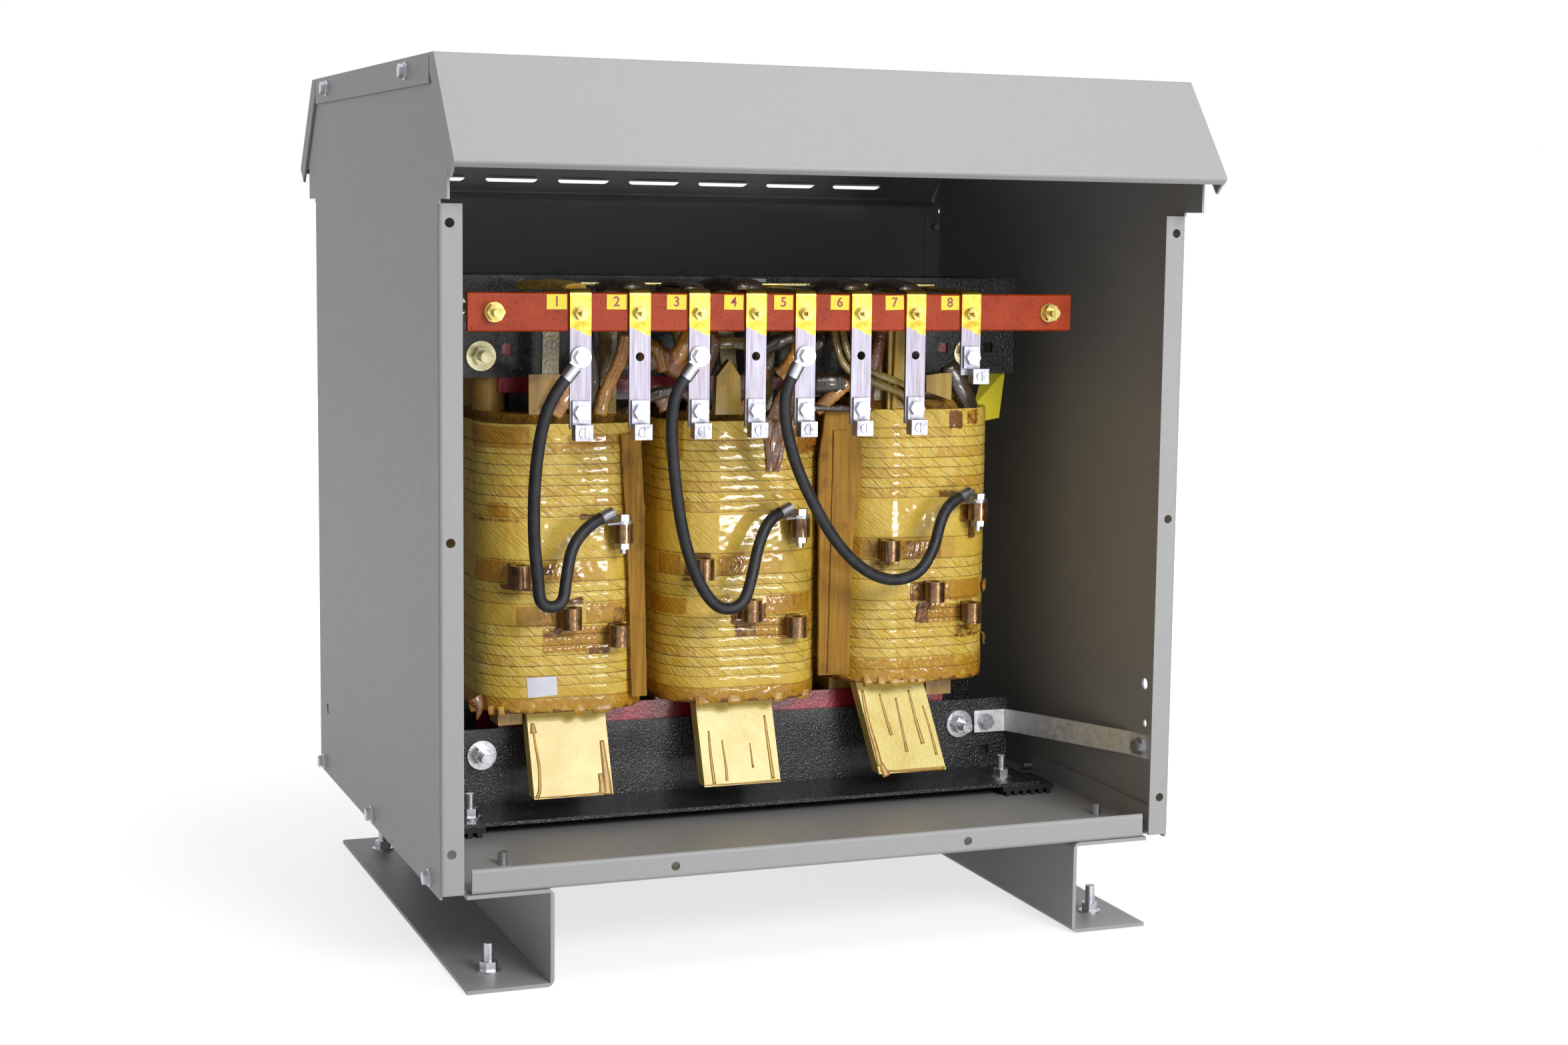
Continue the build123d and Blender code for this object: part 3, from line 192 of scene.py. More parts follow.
def makeClampVarnish(name):
    made, tree, shader = newMaterial(name, (0.012, 0.012, 0.014), 0.24, 0.0, 0.7, 0.16)
    where = place(tree)
    pools = spread(tree, noiseFac(tree, where, 14.0, 3.0), 0.4, 0.65)
    shade = blendColor(tree, pools, (0.01, 0.01, 0.013), (0.03, 0.028, 0.03))
    drops = cells(tree, where, 620.0)
    ripple = noiseFac(tree, where, 260.0, 3.0)
    height = plus(tree, times(tree, drops, -0.9), ripple)
    rough = spread(tree, noiseFac(tree, where, 90.0, 2.0), 0.35, 0.65, 0.2, 0.42)
    wire(tree, shader, Base_Color=shade, Roughness=rough, Normal=bump(tree, height, 0.85, 0.0011))
    return made


def makeBoard(name, color, dark, stretch=(220.0, 220.0, 14.0), rough=0.3, coat=0.6, contrast=0.7):
    made, tree, shader = newMaterial(name, color, rough, 0.0, coat, 0.1, 0.3)
    where = place(tree, stretch)
    grain = noiseFac(tree, where, 1.0, 5.0, 0.65)
    stain = noiseFac(tree, place(tree), 38.0, 3.0, 0.6, 0.8)
    shade = blendColor(tree, spread(tree, grain, 0.35, 0.7, 0.0, contrast), color, dark)
    shade = blendColor(tree, spread(tree, stain, 0.52, 0.7, 0.0, 0.65), shade, [c * 0.5 for c in dark])
    wire(tree, shader, Base_Color=shade, Normal=bump(tree, grain, 0.35, 0.0008))
    return made


def makeVarnished(name, color, dark, rough=0.3, coat=0.5, size=60.0, bumpDepth=0.0006, metal=0.0):
    made, tree, shader = newMaterial(name, color, rough, metal, coat, 0.08)
    where = place(tree)
    stain = noiseFac(tree, where, size, 4.0, 0.6, 0.5)
    shade = blendColor(tree, spread(tree, stain, 0.38, 0.66), color, dark)
    skin = noiseFac(tree, where, 330.0, 3.0, 0.55)
    wire(tree, shader, Base_Color=shade, Normal=bump(tree, skin, 0.6, bumpDepth))
    return made


rowScale = 32   # rows of tape to one unit of the row number kept in a coil's vertices

tapeColors = {
    "pale": (0.84, 0.585, 0.085),
    "deep": (0.7, 0.43, 0.034),
    "lap": (0.8, 0.56, 0.1),
    "agedLap": (0.55, 0.26, 0.015),
    # stroke: the slanting laps are the tape's own; their pale colour is painted highlight
    "stroke": (0.88, 0.7, 0.24),
    "speck": (0.55, 0.3, 0.03),
    "amber": (0.6, 0.29, 0.014),
    "darkAmber": (0.4, 0.16, 0.008),
    "brown": (0.17, 0.062, 0.012),
    "slash": (0.26, 0.12, 0.012),
    "groove": (0.1, 0.045, 0.01),
}
slashes = {"slant": 38, "perMetre": 96.0, "rowStep": 0.37, "sway": 2.2}   # slanting tape edges
lapPieces = {"perMetre": 17.0, "rowStep": 0.613, "rowSeed": 13.7}   # lengths of tape that differ in shade


def makeCoilTape(name):
    # laps of woven tape under varnish; zones and details come from the coil's own vertices
    made, tree, shader = newMaterial(name, (0.7, 0.45, 0.06), 0.28, 0.0, 0.4, 0.07, 0.3)
    laps = addNode(tree, "ShaderNodeUVMap", {"uv_map": "lapMap"}).outputs["UV"]

    def layer(title):
        kept = addNode(tree, "ShaderNodeAttribute", {"attribute_name": title})
        return addNode(tree, "ShaderNodeSeparateColor", Color=kept.outputs["Color"]).outputs[:3]

    groove, amber, brown = layer("zones")
    crinkle, plain, rowPart = layer("details")
    where = place(tree)
    plainBand = calc(tree, "SUBTRACT", 1.0, plain, True)
    row = times(tree, rowPart, float(rowScale))

    slanted = mapped(tree, laps, turn=math.radians(slashes["slant"]))
    strokes = noiseFac(tree, mapped(tree, slanted, (75.0, 620.0, 1)), 1.0, 3.0, 0.6)
    weave = noiseFac(tree, mapped(tree, laps, (1900.0, 1900.0, 1)), 1.0, 2.0)
    along = times(tree, axisOf(tree, slanted, 1), slashes["perMetre"])
    along = plus(tree, along, times(tree, row, slashes["rowStep"]))
    along = plus(tree, along, times(tree, noiseFac(tree, where, 22.0, 2.0), slashes["sway"]))
    slash = calc(tree, "ABSOLUTE", calc(tree, "SUBTRACT", calc(tree, "FRACT", along), 0.5))
    slash = times(tree, spread(tree, slash, 0.0, 0.045, 1.0, 0.0), plainBand)
    wholeRow = calc(tree, "ROUND", row)
    length = plus(tree, times(tree, axisOf(tree, laps, 0), lapPieces["perMetre"]),
                  times(tree, wholeRow, lapPieces["rowStep"]))
    draw = plus(tree, times(tree, wholeRow, lapPieces["rowSeed"]), calc(tree, "FLOOR", length))
    piece = addNode(tree, "ShaderNodeTexWhiteNoise", {"noise_dimensions": "1D"}, W=draw).outputs["Value"]
    cloud = noiseFac(tree, where, 34.0, 4.0, 0.6, 0.5)
    fine = noiseFac(tree, where, 210.0, 4.0, 0.62, 0.6)
    ragged = calc(tree, "SUBTRACT", fine, 0.5)
    amber = plus(tree, amber, times(tree, ragged, 0.9))
    brown = plus(tree, brown, times(tree, ragged, 1.5))
    line = spread(tree, times(tree, groove, spread(tree, fine, 0.3, 0.6, 1.2, 0.75)), 0.1, 0.75)
    resin = blendColor(tree, cloud, tapeColors["amber"], tapeColors["darkAmber"])

    shade = blendColor(tree, spread(tree, cloud, 0.36, 0.64), tapeColors["pale"], tapeColors["deep"])
    for amount, color in (
        (spread(tree, piece, 0.0, 1.0, 0.0, 0.55), tapeColors["lap"]),
        (spread(tree, piece, 0.86, 0.9, 0.0, 0.5), tapeColors["agedLap"]),
        # pale strokes along the slanting laps: the laps are real, their paleness is painted highlight
        (times(tree, spread(tree, strokes, 0.53, 0.6, 0.0, 0.85), plainBand), tapeColors["stroke"]),
        (spread(tree, fine, 0.55, 0.7, 0.0, 0.4), tapeColors["speck"]),
        (spread(tree, amber, 0.42, 0.56, 0.0, 0.82), resin),
        (spread(tree, brown, 0.45, 0.78, 0.0, 0.9), tapeColors["brown"]),
        (times(tree, slash, 0.42), tapeColors["slash"]),
        (line, tapeColors["groove"]),
    ):
        shade = blendColor(tree, amount, shade, color)

    height = plus(tree, times(tree, strokes, 1.5), times(tree, weave, 0.25))
    height = calc(tree, "SUBTRACT", height, times(tree, slash, 0.5))
    creases = noiseFac(tree, place(tree, (1.0, 1.0, 0.35)), 260.0, 3.0, 0.6, 1.2)
    height = plus(tree, height, times(tree, creases, plus(tree, crinkle, 0.45)))
    pools = noiseFac(tree, where, 95.0, 3.0, 0.6)
    height = plus(tree, height, times(tree, pools, 1.1))
    wire(tree, shader, Base_Color=shade, Roughness=spread(tree, pools, 0.35, 0.65, 0.17, 0.36),
         Normal=bump(tree, height, 0.85, 0.0012))
    return made


def makeBar(name):
    made, tree, shader = newMaterial(name, (0.42, 0.04, 0.004), 0.36, 0.0, 0.1, 0.12, 0.22)
    where = place(tree)
    cloud = noiseFac(tree, where, 45.0, 4.0, 0.6)
    shade = blendColor(tree, spread(tree, cloud, 0.35, 0.65), (0.43, 0.047, 0.004), (0.34, 0.03, 0.003))
    specks = cells(tree, place(tree, (1, 1, 0.5)), 420.0)
    drops = spread(tree, specks, 0.1, 0.24, 1.0, 0.0)
    height = plus(tree, drops, times(tree, noiseFac(tree, where, 900.0, 2.0), 0.35))
    wire(tree, shader, Base_Color=shade, Roughness=spread(tree, drops, 0.0, 1.0, 0.4, 0.12),
         Normal=bump(tree, height, 0.5, 0.0006))
    return made


def makeCable(name):
    made, tree, shader = newMaterial(name, (0.018, 0.018, 0.021), 0.5, 0.0, 0.0, 0.2, 0.4)
    where = place(tree)
    dust = noiseFac(tree, where, 120.0, 3.0, 0.6)
    shade = blendColor(tree, spread(tree, dust, 0.4, 0.7), (0.014, 0.014, 0.018), (0.034, 0.034, 0.038))
    wire(tree, shader, Base_Color=shade, Roughness=spread(tree, dust, 0.35, 0.7, 0.42, 0.6),
         Normal=bump(tree, noiseFac(tree, where, 1500.0, 2.0), 0.3, 0.0002))
    return made


varnishEdge = {"height": 0.4955, "slope": -0.42, "waver": 0.003}


def makeStrap(name, x):
    # varnished gold above a slanting edge, bare metal below it
    made, tree, shader = newMaterial(name, (0.6, 0.58, 0.6), 0.34, 1.0)
    where = place(tree, shift=(-x, 0, 0))
    edge = plus(tree, times(tree, axisOf(tree, where, 0), varnishEdge["slope"]), varnishEdge["height"])
    edge = plus(tree, edge, times(tree, noiseFac(tree, where, 190.0, 2.0), varnishEdge["waver"]))
    gold = spread(tree, calc(tree, "SUBTRACT", axisOf(tree, where, 2), edge), -0.0003, 0.0005)
    brushed = noiseFac(tree, place(tree, (520.0, 520.0, 26.0)), 1.0, 4.0, 0.6)
    metal = blendColor(tree, spread(tree, brushed, 0.35, 0.68), (0.33, 0.32, 0.38), (0.22, 0.2, 0.24))
    rust = noiseFac(tree, place(tree, (260.0, 260.0, 30.0)), 1.0, 3.0, 0.6)
    metal = blendColor(tree, spread(tree, rust, 0.6, 0.7, 0.0, 0.5), metal, (0.26, 0.17, 0.14))
    varnish = blendColor(tree, spread(tree, noiseFac(tree, where, 90.0, 3.0, 0.6, 0.7), 0.4, 0.65),
                         (0.66, 0.48, 0.09), (0.38, 0.24, 0.03))
    wire(tree, shader, Base_Color=blendColor(tree, gold, metal, varnish),
         Roughness=spread(tree, gold, 0.0, 1.0, 0.46, 0.3),
         Normal=bump(tree, brushed, 0.2, 0.0004))
    return made


finishes = {
    "paint": makeCasePaint("casePaint"),
    "zinc": makePlate("zincPlate", (0.56, 0.57, 0.61), 0.3),
    "yellowZinc": makePlate("yellowZinc", (0.62, 0.53, 0.2), 0.24, (0.34, 0.22, 0.04), 0.6),
    "clampZinc": makePlate("clampZinc", (0.62, 0.56, 0.3), 0.24, lower=(0.56, 0.57, 0.6)),
    "core": makeBoard("coreVarnish", (0.03, 0.027, 0.026), (0.01, 0.009, 0.01), (4.0, 700.0, 4.0), 0.35,
                      0.4),
    "clamp": makeClampVarnish("clampVarnish"),
    "redBoard": makeVarnished("crimsonBoard", (0.4, 0.014, 0.034), (0.22, 0.006, 0.016), 0.3, 0.5, 40.0),
    "rubber": makeVarnished("padRubber", (0.018, 0.018, 0.018), (0.01, 0.01, 0.01), 0.7, 0.0, 90.0),
    "tape": makeCoilTape("coilTape"),
    "label": makeVarnished("labelYellow", (0.88, 0.76, 0.015), (0.84, 0.7, 0.012), 0.4, 0.1, 40.0, 0.0001),
    "digit": makeVarnished("labelRed", (0.34, 0.022, 0.05), (0.28, 0.018, 0.04), 0.45, 0.1, 200.0, 0.0001),
    "paper": makeVarnished("whitePaper", (0.72, 0.73, 0.82), (0.66, 0.67, 0.76), 0.35, 0.3, 60.0, 0.0002),
    "paleBoard": makeBoard("paleBoard", (0.48, 0.29, 0.065), (0.26, 0.12, 0.02), rough=0.36, coat=0.3),
    "brown": makeVarnished("tapSleeve", (0.24, 0.13, 0.05), (0.1, 0.045, 0.015), 0.26, 0.4, 130.0, 0.0006,
                           0.75),
    "bar": makeBar("barEnamel"),
    "tin": makePlate("tinPlate", (0.42, 0.42, 0.48), 0.42),
    "rod": makePlate("paleRod", (0.62, 0.54, 0.24), 0.22),
    "wrapAmber": makeVarnished("wrapAmber", (0.52, 0.24, 0.022), (0.3, 0.1, 0.01), 0.22, 0.7, 55.0, 0.0012),
    "wrapBrown": makeVarnished("wrapBrown", (0.24, 0.085, 0.018), (0.11, 0.035, 0.01), 0.25, 0.6, 60.0,
                               0.0012),
    "wrapDark": makeVarnished("wrapDark", (0.06, 0.036, 0.018), (0.022, 0.014, 0.01), 0.28, 0.6, 50.0,
                              0.0012),
    "wrapOlive": makeVarnished("wrapOlive", (0.3, 0.22, 0.055), (0.14, 0.085, 0.016), 0.25, 0.6, 50.0,
                               0.0008),
    "wrapGold": makeBoard("wrapGold", (0.46, 0.3, 0.035), (0.28, 0.145, 0.012), (160.0, 160.0, 20.0), 0.35,
                          0.35),
    "stick": makeBoard("stickWood", (0.44, 0.225, 0.02), (0.21, 0.085, 0.007), (240.0, 240.0, 9.0), 0.6,
                       0.0, 0.9),
    "drip": makeVarnished("amberDrip", (0.52, 0.29, 0.016), (0.34, 0.15, 0.008), 0.34, 0.15, 120.0, 0.0004),
    "cable": makeCable("cableJacket"),
    "aluminium": makePlate("groundAluminium", (0.86, 0.87, 0.89), 0.5),
    "tab": makeVarnished("tabBoard", (0.84, 0.7, 0.2), (0.74, 0.54, 0.085), 0.36, 0.2, 26.0),
}

wears = {
    "paint": ["roof_hood", "left_side_panel", "right_side_panel", "floor_pan", "back_cover", "left_foot",
              "right_foot"],
    "zinc": ["case_screws", "anchor_studs", "anchor_nuts", "foot_joint_bolts", "pad_bolts", "pad_nuts",
             "ground_bolts", "cable_bolts", "cable_lugs", "connection_nuts", "lug_bolts"],
    "clampZinc": ["clamp_rods", "clamp_washers", "clamp_nuts"],
    "yellowZinc": ["bar_studs", "bar_nuts", "strap_bolts", "strap_nuts"],
    "core": ["core_laminations"],
    "clamp": ["lower_clamp_front", "lower_clamp_back", "upper_clamp_front", "upper_clamp_back"],
    "redBoard": ["yoke_barriers"],
    "rubber": ["isolation_pads"],
    "paleBoard": ["coil_rests", "coil_blocks", "coil_posts"],
    "wrapOlive": ["winding_leads"],
    "brown": ["tap_sleeves"],
    "bar": ["terminal_bar"],
    "tin": ["box_lugs", "lug_set_screws"],
    "rod": ["neutral_bus"],
    "cable": ["cable_1", "cable_2", "cable_3"],
    "aluminium": ["ground_strap"],
    "tab": ["insulation_tab_left", "insulation_tab_middle", "insulation_tab_right"],
}


def dress(name, finish):
    mesh = nodes[name].data
    mesh.materials.clear()
    mesh.materials.append(finish)


for finish, names in wears.items():
    for name in names:
        dress(name, finishes[finish])

strapXs = [-0.172, -0.123, -0.073, -0.0245, 0.0185, 0.068, 0.117, 0.1675]
for number, x in enumerate(strapXs, 1):
    dress(f"terminal_strap_{number}", makeStrap(f"strapMetal{number}", x))
print("finishes on", sum(len(v) for v in wears.values()) + len(strapXs), "nodes")


# shared mesh makers

def addPiece(name, mesh, finish):
    mesh.materials.clear()
    mesh.materials.append(finish)
    piece = bpy.data.objects.new(name, mesh)
    bpy.context.scene.collection.objects.link(piece)
    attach(piece, "root")
    return piece


def meshFrom(name, bm, smooth=True):
    bmesh.ops.recalc_face_normals(bm, faces=bm.faces)
    mesh = bpy.data.meshes.new(name)
    bm.to_mesh(mesh)
    bm.free()
    mesh.polygons.foreach_set("use_smooth", [smooth] * len(mesh.polygons))
    return mesh


def loft(bm, rings, loop=False):
    # one ring is extruded again and again, each new ring set in its own place; caps or a bridge close it
    slot = bm.verts.layers.int.get("slot") or bm.verts.layers.int.new("slot")
    lap = bm.verts.layers.int.get("lap") or bm.verts.layers.int.new("lap")
    first = bmesh.ops.create_circle(bm, segments=len(rings[0]), radius=1.0)["verts"]
    for i, vertex in enumerate(first):
        vertex[slot] = i
        vertex.co = rings[0][i]
    start = list(dict.fromkeys(edge for vertex in first for edge in vertex.link_edges))
    edges = start
    for number, ring in enumerate(rings[1:], 1):
        grown = bmesh.ops.extrude_edge_only(bm, edges=edges)["geom"]
        fresh = {item for item in grown if isinstance(item, bmesh.types.BMVert)}
        for vertex in fresh:
            vertex.co = ring[vertex[slot]]
            vertex[lap] = number
        edges = [item for item in grown
                 if isinstance(item, bmesh.types.BMEdge) and fresh.issuperset(item.verts)]
    if loop:
        bmesh.ops.bridge_loops(bm, edges=start + edges)
    else:
        bmesh.ops.edgeloop_fill(bm, edges=start)
        bmesh.ops.edgeloop_fill(bm, edges=edges)


def slab(bm, size, centre, turn=(0, 0, 0), edge=0.0):
    corners = bmesh.ops.create_cube(bm, size=1.0)["verts"]
    bmesh.ops.scale(bm, vec=size, verts=corners)
    if edge:
        edges = list(dict.fromkeys(e for v in corners for e in v.link_edges))
        fresh = bmesh.ops.bevel(bm, geom=edges, offset=edge, segments=2, affect="EDGES", profile=0.5,
                                material=-1)["verts"]
        corners = list(set(fresh) | {v for v in corners if v.is_valid})
    where = Matrix.Translation(centre) @ Euler(turn).to_matrix().to_4x4()
    bmesh.ops.transform(bm, matrix=where, verts=corners)


def outlineBoard(bm, outline, y, thick):
    # a flat board from its outline in millimetres, its back pushed away from the front
    face = bm.faces.new([bm.verts.new((x / 1000, y, z / 1000)) for x, z in outline])
    grown = bmesh.ops.extrude_face_region(bm, geom=[face])["geom"]
    fresh = [item for item in grown if isinstance(item, bmesh.types.BMVert)]
    bmesh.ops.translate(bm, vec=(0, thick, 0), verts=fresh)


# the three taped coils

coilWidth, coilDepth, coilCorner = 0.143, 0.196, 0.045
coilBottom, coilTop, crownTop = 0.176, 0.418, 0.425
coilMiddleY = 0.032
boreWidth, boreDepth, boreCorner = 0.0846, 0.0886, 0.004
crownInset = 0.009
flatFront = coilWidth / 2 - coilCorner
flatSide = coilDepth / 2 - coilCorner
quarter = coilCorner * math.pi / 2


def spaced(low, high, count):
    return [low + (high - low) * i / count for i in range(count)]


# stations round the coil, measured along the surface from the middle of the front
halfWay = flatFront + quarter + 2 * flatSide + quarter + flatFront
rightHalf = (spaced(0, flatFront, 20) + spaced(flatFront, flatFront + quarter, 34)
             + spaced(flatFront + quarter, flatFront + quarter + 2 * flatSide, 12)
             + spaced(flatFront + quarter + 2 * flatSide, halfWay - flatFront, 10)
             + spaced(halfWay - flatFront, halfWay, 4))
stations = rightHalf + [halfWay] + [-s for s in rightHalf[:0:-1]]


def coilPoint(s, out=0.0, width=coilWidth, depth=coilDepth, corner=coilCorner):
    # place on a rounded rectangle for a station of the coil's own outline, pushed outward
    side = 1 if s >= 0 else -1
    s = abs(s)
    front, flank = width / 2 - corner, depth / 2 - corner
    if s <= flatFront:
        x, y, nx, ny = front * s / flatFront, -depth / 2, 0.0, -1.0
    elif s < flatFront + quarter:
        angle = (s - flatFront) / coilCorner
        nx, ny = math.sin(angle), -math.cos(angle)
        x, y = front + corner * nx, -flank + corner * ny
    elif s <= flatFront + quarter + 2 * flatSide:
        x, y, nx, ny = width / 2, -flank + flank * (s - flatFront - quarter) / flatSide, 1.0, 0.0
    elif s < halfWay - flatFront:
        angle = (s - flatFront - quarter - 2 * flatSide) / coilCorner
        nx, ny = math.cos(angle), math.sin(angle)
        x, y = front + corner * nx, flank + corner * ny
    else:
        x, y, nx, ny = front * (halfWay - s) / flatFront, depth / 2, 0.0, 1.0
    return side * (x + nx * out), y + ny * out + coilMiddleY


# rows of tape from the top down: kind and height in millimetres
tapeRows = ([("cap", 16.5)] + [("band", 8.75)] * 7 + [("wide", 35.25), ("tap", 19.0)] + [("band", 8.75)] * 2
            + [("tap", 18.5)] + [("band", 8.5)] * 6 + [("wide", 10.0), ("foot", 13.0)])

# patches on a coil, all in millimetres on the unlifted coil:
# from and to station, from and to height, amber, brown, crinkle
coils = {
    "coilLeft": {
        "node": "coil_left", "x": -0.158, "lift": 0.0, "seed": 3,
        "patches": [
            (-98, -36, 397, 416, 0.9, 0, 0), (-4, 43, 398, 409, 0.8, 0, 0), (-22, 42, 393, 401, 0.5, 0, 0),
            (-73, -52, 340, 353, 0.65, 0.1, 0), (-104, -39, 335, 340, 0.5, 0.6, 0.4),
            (6, 38, 337, 343, 0.4, 0.9, 0.2), (-93, -49, 287, 304, 1, 0.25, 1),
            (-49, -10, 287, 304, 0.6, 0.35, 0.8), (-25, -16, 292, 300, 0.3, 1, 0.2),
            (-6, 8, 286, 297, 0.9, 0.6, 0.2), (-60, -34, 281, 285, 0.3, 1, 0),
            (-6, 10, 266, 270, 0.3, 1, 0), (-47, -30, 250, 267, 0.9, 0.35, 0.1),
            (-30, -6, 249, 267, 0.8, 0.5, 1), (12, 51, 250, 268, 0.6, 0.35, 0.5),
            (36, 51, 250, 262, 0.8, 0.7, 0.3), (-25, 34, 227, 249, 0.75, 0.25, 0.6),
            (14, 34, 224, 231, 0.6, 0.8, 0.2), (50, 64, 176, 236, 0.85, 0.3, 0),
            (50, 66, 236, 418, 0.6, 0.45, 0),
        ],
    },
    "coilMiddle": {
        "node": "coil_middle", "x": 0.0, "lift": 0.0, "seed": 11,
        "patches": [
            (-80, -60, 385, 418, 0.8, 0.3, 0.2), (42, 72, 388, 408, 0.85, 0.4, 0.3),
            (-62, -53, 340, 354, 0.6, 0, 0), (16, 40, 334, 341, 0.5, 0.9, 0.3),
            (-88, -62, 287, 304, 1, 0.2, 1), (-60, -34, 286, 304, 0.6, 0.5, 0.6),
            (-31, -6, 286, 304, 0.7, 0.5, 1), (-6, 6, 286, 303, 0.7, 0.1, 0.4),
            (-52, -36, 301, 306, 0.4, 1, 0.1), (-62, -38, 281, 285, 0.3, 1, 0),
            (-110, -57, 252, 267, 0.8, 0.15, 0), (-31, -18, 258, 268, 0.9, 0.2, 0.4),
            (-18, 14, 244, 258, 0.6, 0.9, 0.5), (-15, 5, 232, 246, 0.8, 0.7, 0.2),
            (13, 62, 251, 268, 0.7, 0.45, 0.5), (24, 64, 229, 249, 0.8, 0.4, 0.9),
            (4, 24, 230, 249, 0.7, 0.3, 0.6), (-100, 70, 176, 186, 0.7, 0.4, 0.2),
        ],
    },
    "coilRight": {
        "node": "coil_right", "x": 0.162, "lift": 0.008, "seed": 23,
        "patches": [
            (20, 34, 400, 417, 0.7, 0.9, 0.2), (38, 52, 403, 417, 0.7, 0.7, 0.2),
            # the first entry here, the thin brown strip just under the lug, is painted shadow of the lug
            (12, 52, 340, 346, 0.4, 0.9, 0.2), (32, 50, 317, 334, 0.7, 0.6, 0.8),
            (42, 52, 302, 321, 0.4, 1, 0.2), (-68, -45, 287, 304, 0.9, 0.4, 1),
            (-45, -22, 287, 304, 0.7, 0.5, 0.9), (-22, 15, 286, 303, 0.8, 0.55, 0.8),
            (-53, -24, 276, 286, 0.5, 0.5, 0), (-14, 4, 247, 266, 0.7, 0.75, 1),
            (1, 62, 248, 267, 0.85, 0.3, 0.5), (-6, 34, 229, 246, 0.7, 0.35, 0.9),
            (-8, 4, 229, 245, 0.5, 0.95, 0.2), (28, 62, 214, 227, 0.5, 0.6, 0.1),
            (-100, 70, 176, 199, 0.55, 0.1, 0.1),
        ],
    },
}


# how a row of tape is laid, in millimetres
lay = {"low": -0.18, "high": 0.22, "lip": 0.4, "shoulder": 1.2, "step": 2.0, "crown": 0.12, "groove": 0.9}
grooves = {"cap": 1.0, "band": 1.0, "wide": 0.75, "tap": 0.9, "foot": 0.8}
footRise, brownEdge, brownFade = 187, 181, 5   # where the ragged foot draws in and turns brown
shelfLook = ((0.3, 0.9, 0.6, 1.0), (0.3, 1.0, 0.9, 1.0))


def coilLevels(rows, draw):
    # level height, outward push, groove, row number and kind, from the top down
    levels = []
    top = coilTop * 1000
    for number, (kind, height) in enumerate(rows):
        push = draw.uniform(lay["low"], lay["high"])
        span = height - 2 * lay["shoulder"]
        steps = max(3, round(span / lay["step"]))
        inner = [lay["shoulder"] + span * i / steps for i in range(steps + 1)]
        groove = grooves[kind]
        levels.append((top, -lay["groove"] * groove, groove, number, kind))
        levels.append((top - lay["lip"], push - 0.1, 0.0, number, kind))
        for depth in inner:
            swell = lay["crown"] * math.sin(math.pi * depth / height)
            levels.append((top - depth, push + swell, 0.0, number, kind))
        levels.append((top - height + lay["lip"], push - 0.05, 0.0, number, kind))
        top -= height
    return levels


def patchSum(patches, s, z):
    # how much amber, brown and crinkle a place has, fading over two millimetres at a patch's edge
    found = [0.0, 0.0, 0.0]
    for fromS, toS, fromZ, toZ, *amounts in patches:
        inside = min(s - fromS, toS - s, (z - fromZ) * 1.4, (toZ - z) * 1.4)
        weight = min(1.0, max(0.0, inside / 2.0 + 0.5))
        if weight > 0:
            found = [max(old, amount * weight) for old, amount in zip(found, amounts)]
    return found


def buildCoil(name, facts):
    draw = random.Random(facts["seed"])
    rings, zones, details, heights = [], [], [], []
    seedShift = facts["seed"] * 7.3
    for height, push, groove, number, kind in reversed(coilLevels(tapeRows, draw)):
        ring = []
        for s in stations:
            mm = s * 1000
            amber, brown, crinkle = patchSum(facts["patches"], mm, height)
            slow = noise.noise((mm * 0.03, height * 0.03, seedShift))
            quick = noise.noise((mm * 0.16, height * 0.5 + number * 9, seedShift + 4))
            waver = noise.noise((mm * 0.09, height * 0.12, seedShift))
            creases = abs(math.sin(mm * 0.62 + 3 * waver))
            out = push + 0.35 * slow + 0.16 * quick + crinkle * (0.75 * creases - 0.2)
            if kind == "foot":
                ragged = noise.noise((mm * 0.12, height * 0.2, seedShift + 8))
                out += 0.7 * ragged - 0.006 * max(0.0, footRise - height) ** 2
                burnt = (brownEdge - height + 5 * ragged) / brownFade
                brown = max(brown, min(1.0, max(0.0, burnt)))
                amber = max(amber, 0.6)
            sway = 0.55 * noise.noise((mm * 0.022, number * 3.1, seedShift))
            sway += 0.2 * noise.noise((mm * 0.1, number, 0.0))
            if height > coilTop * 1000 - 0.1 or height < coilBottom * 1000 + 0.5:
                sway = 0.0
            x, y = coilPoint(s, out / 1000)
            ring.append((x + facts["x"], y, (height + sway) / 1000 + facts["lift"]))
            zones.append((groove, amber, brown, 1.0))
            details.append((crinkle, float(kind in ("wide", "foot", "tap")), number / rowScale, 1.0))
        rings.append(ring)
        heights.append(height / 1000)
    crown = (coilWidth - 2 * crownInset, coilDepth - 2 * crownInset, coilCorner - crownInset)
    bore = (boreWidth, boreDepth, boreCorner)
    for outline, height in ((crown, coilTop), (crown, crownTop), (bore, crownTop), (bore, coilBottom)):
        ring = []
        for s in stations:
            x, y = coilPoint(s, 0.0, *outline)
            ring.append((x + facts["x"], y, height + facts["lift"]))
            zones.append(shelfLook[0])
            details.append(shelfLook[1])
        rings.append(ring)
        heights.append(height)
    bm = bmesh.new()
    loft(bm, rings, loop=True)
    mesh = meshFrom(name, bm)
    count = len(stations)
    slots = [item.value for item in mesh.attributes["slot"].data]
    laps = [item.value for item in mesh.attributes["lap"].data]
    for title, values in (("zones", zones), ("details", details)):
        layer = mesh.attributes.new(title, "FLOAT_COLOR", "POINT")
        layer.data.foreach_set("color", [c for i, j in zip(slots, laps) for c in values[j * count + i]])
    lapMap = mesh.uv_layers.new(name="lapMap")
    for polygon in mesh.polygons:
        around = [stations[slots[mesh.loops[i].vertex_index]] for i in polygon.loop_indices]
        crossing = max(around) - min(around) > halfWay
        for i, s in zip(polygon.loop_indices, around):
            height = heights[laps[mesh.loops[i].vertex_index]]
            lapMap.data[i].uv = (s - 2 * halfWay if crossing and s > 0 else s, height)
    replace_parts(addPiece(name, mesh, finishes["tape"]), facts["node"])


for name, facts in coils.items():
    buildCoil(name, facts)
print("coils wound")


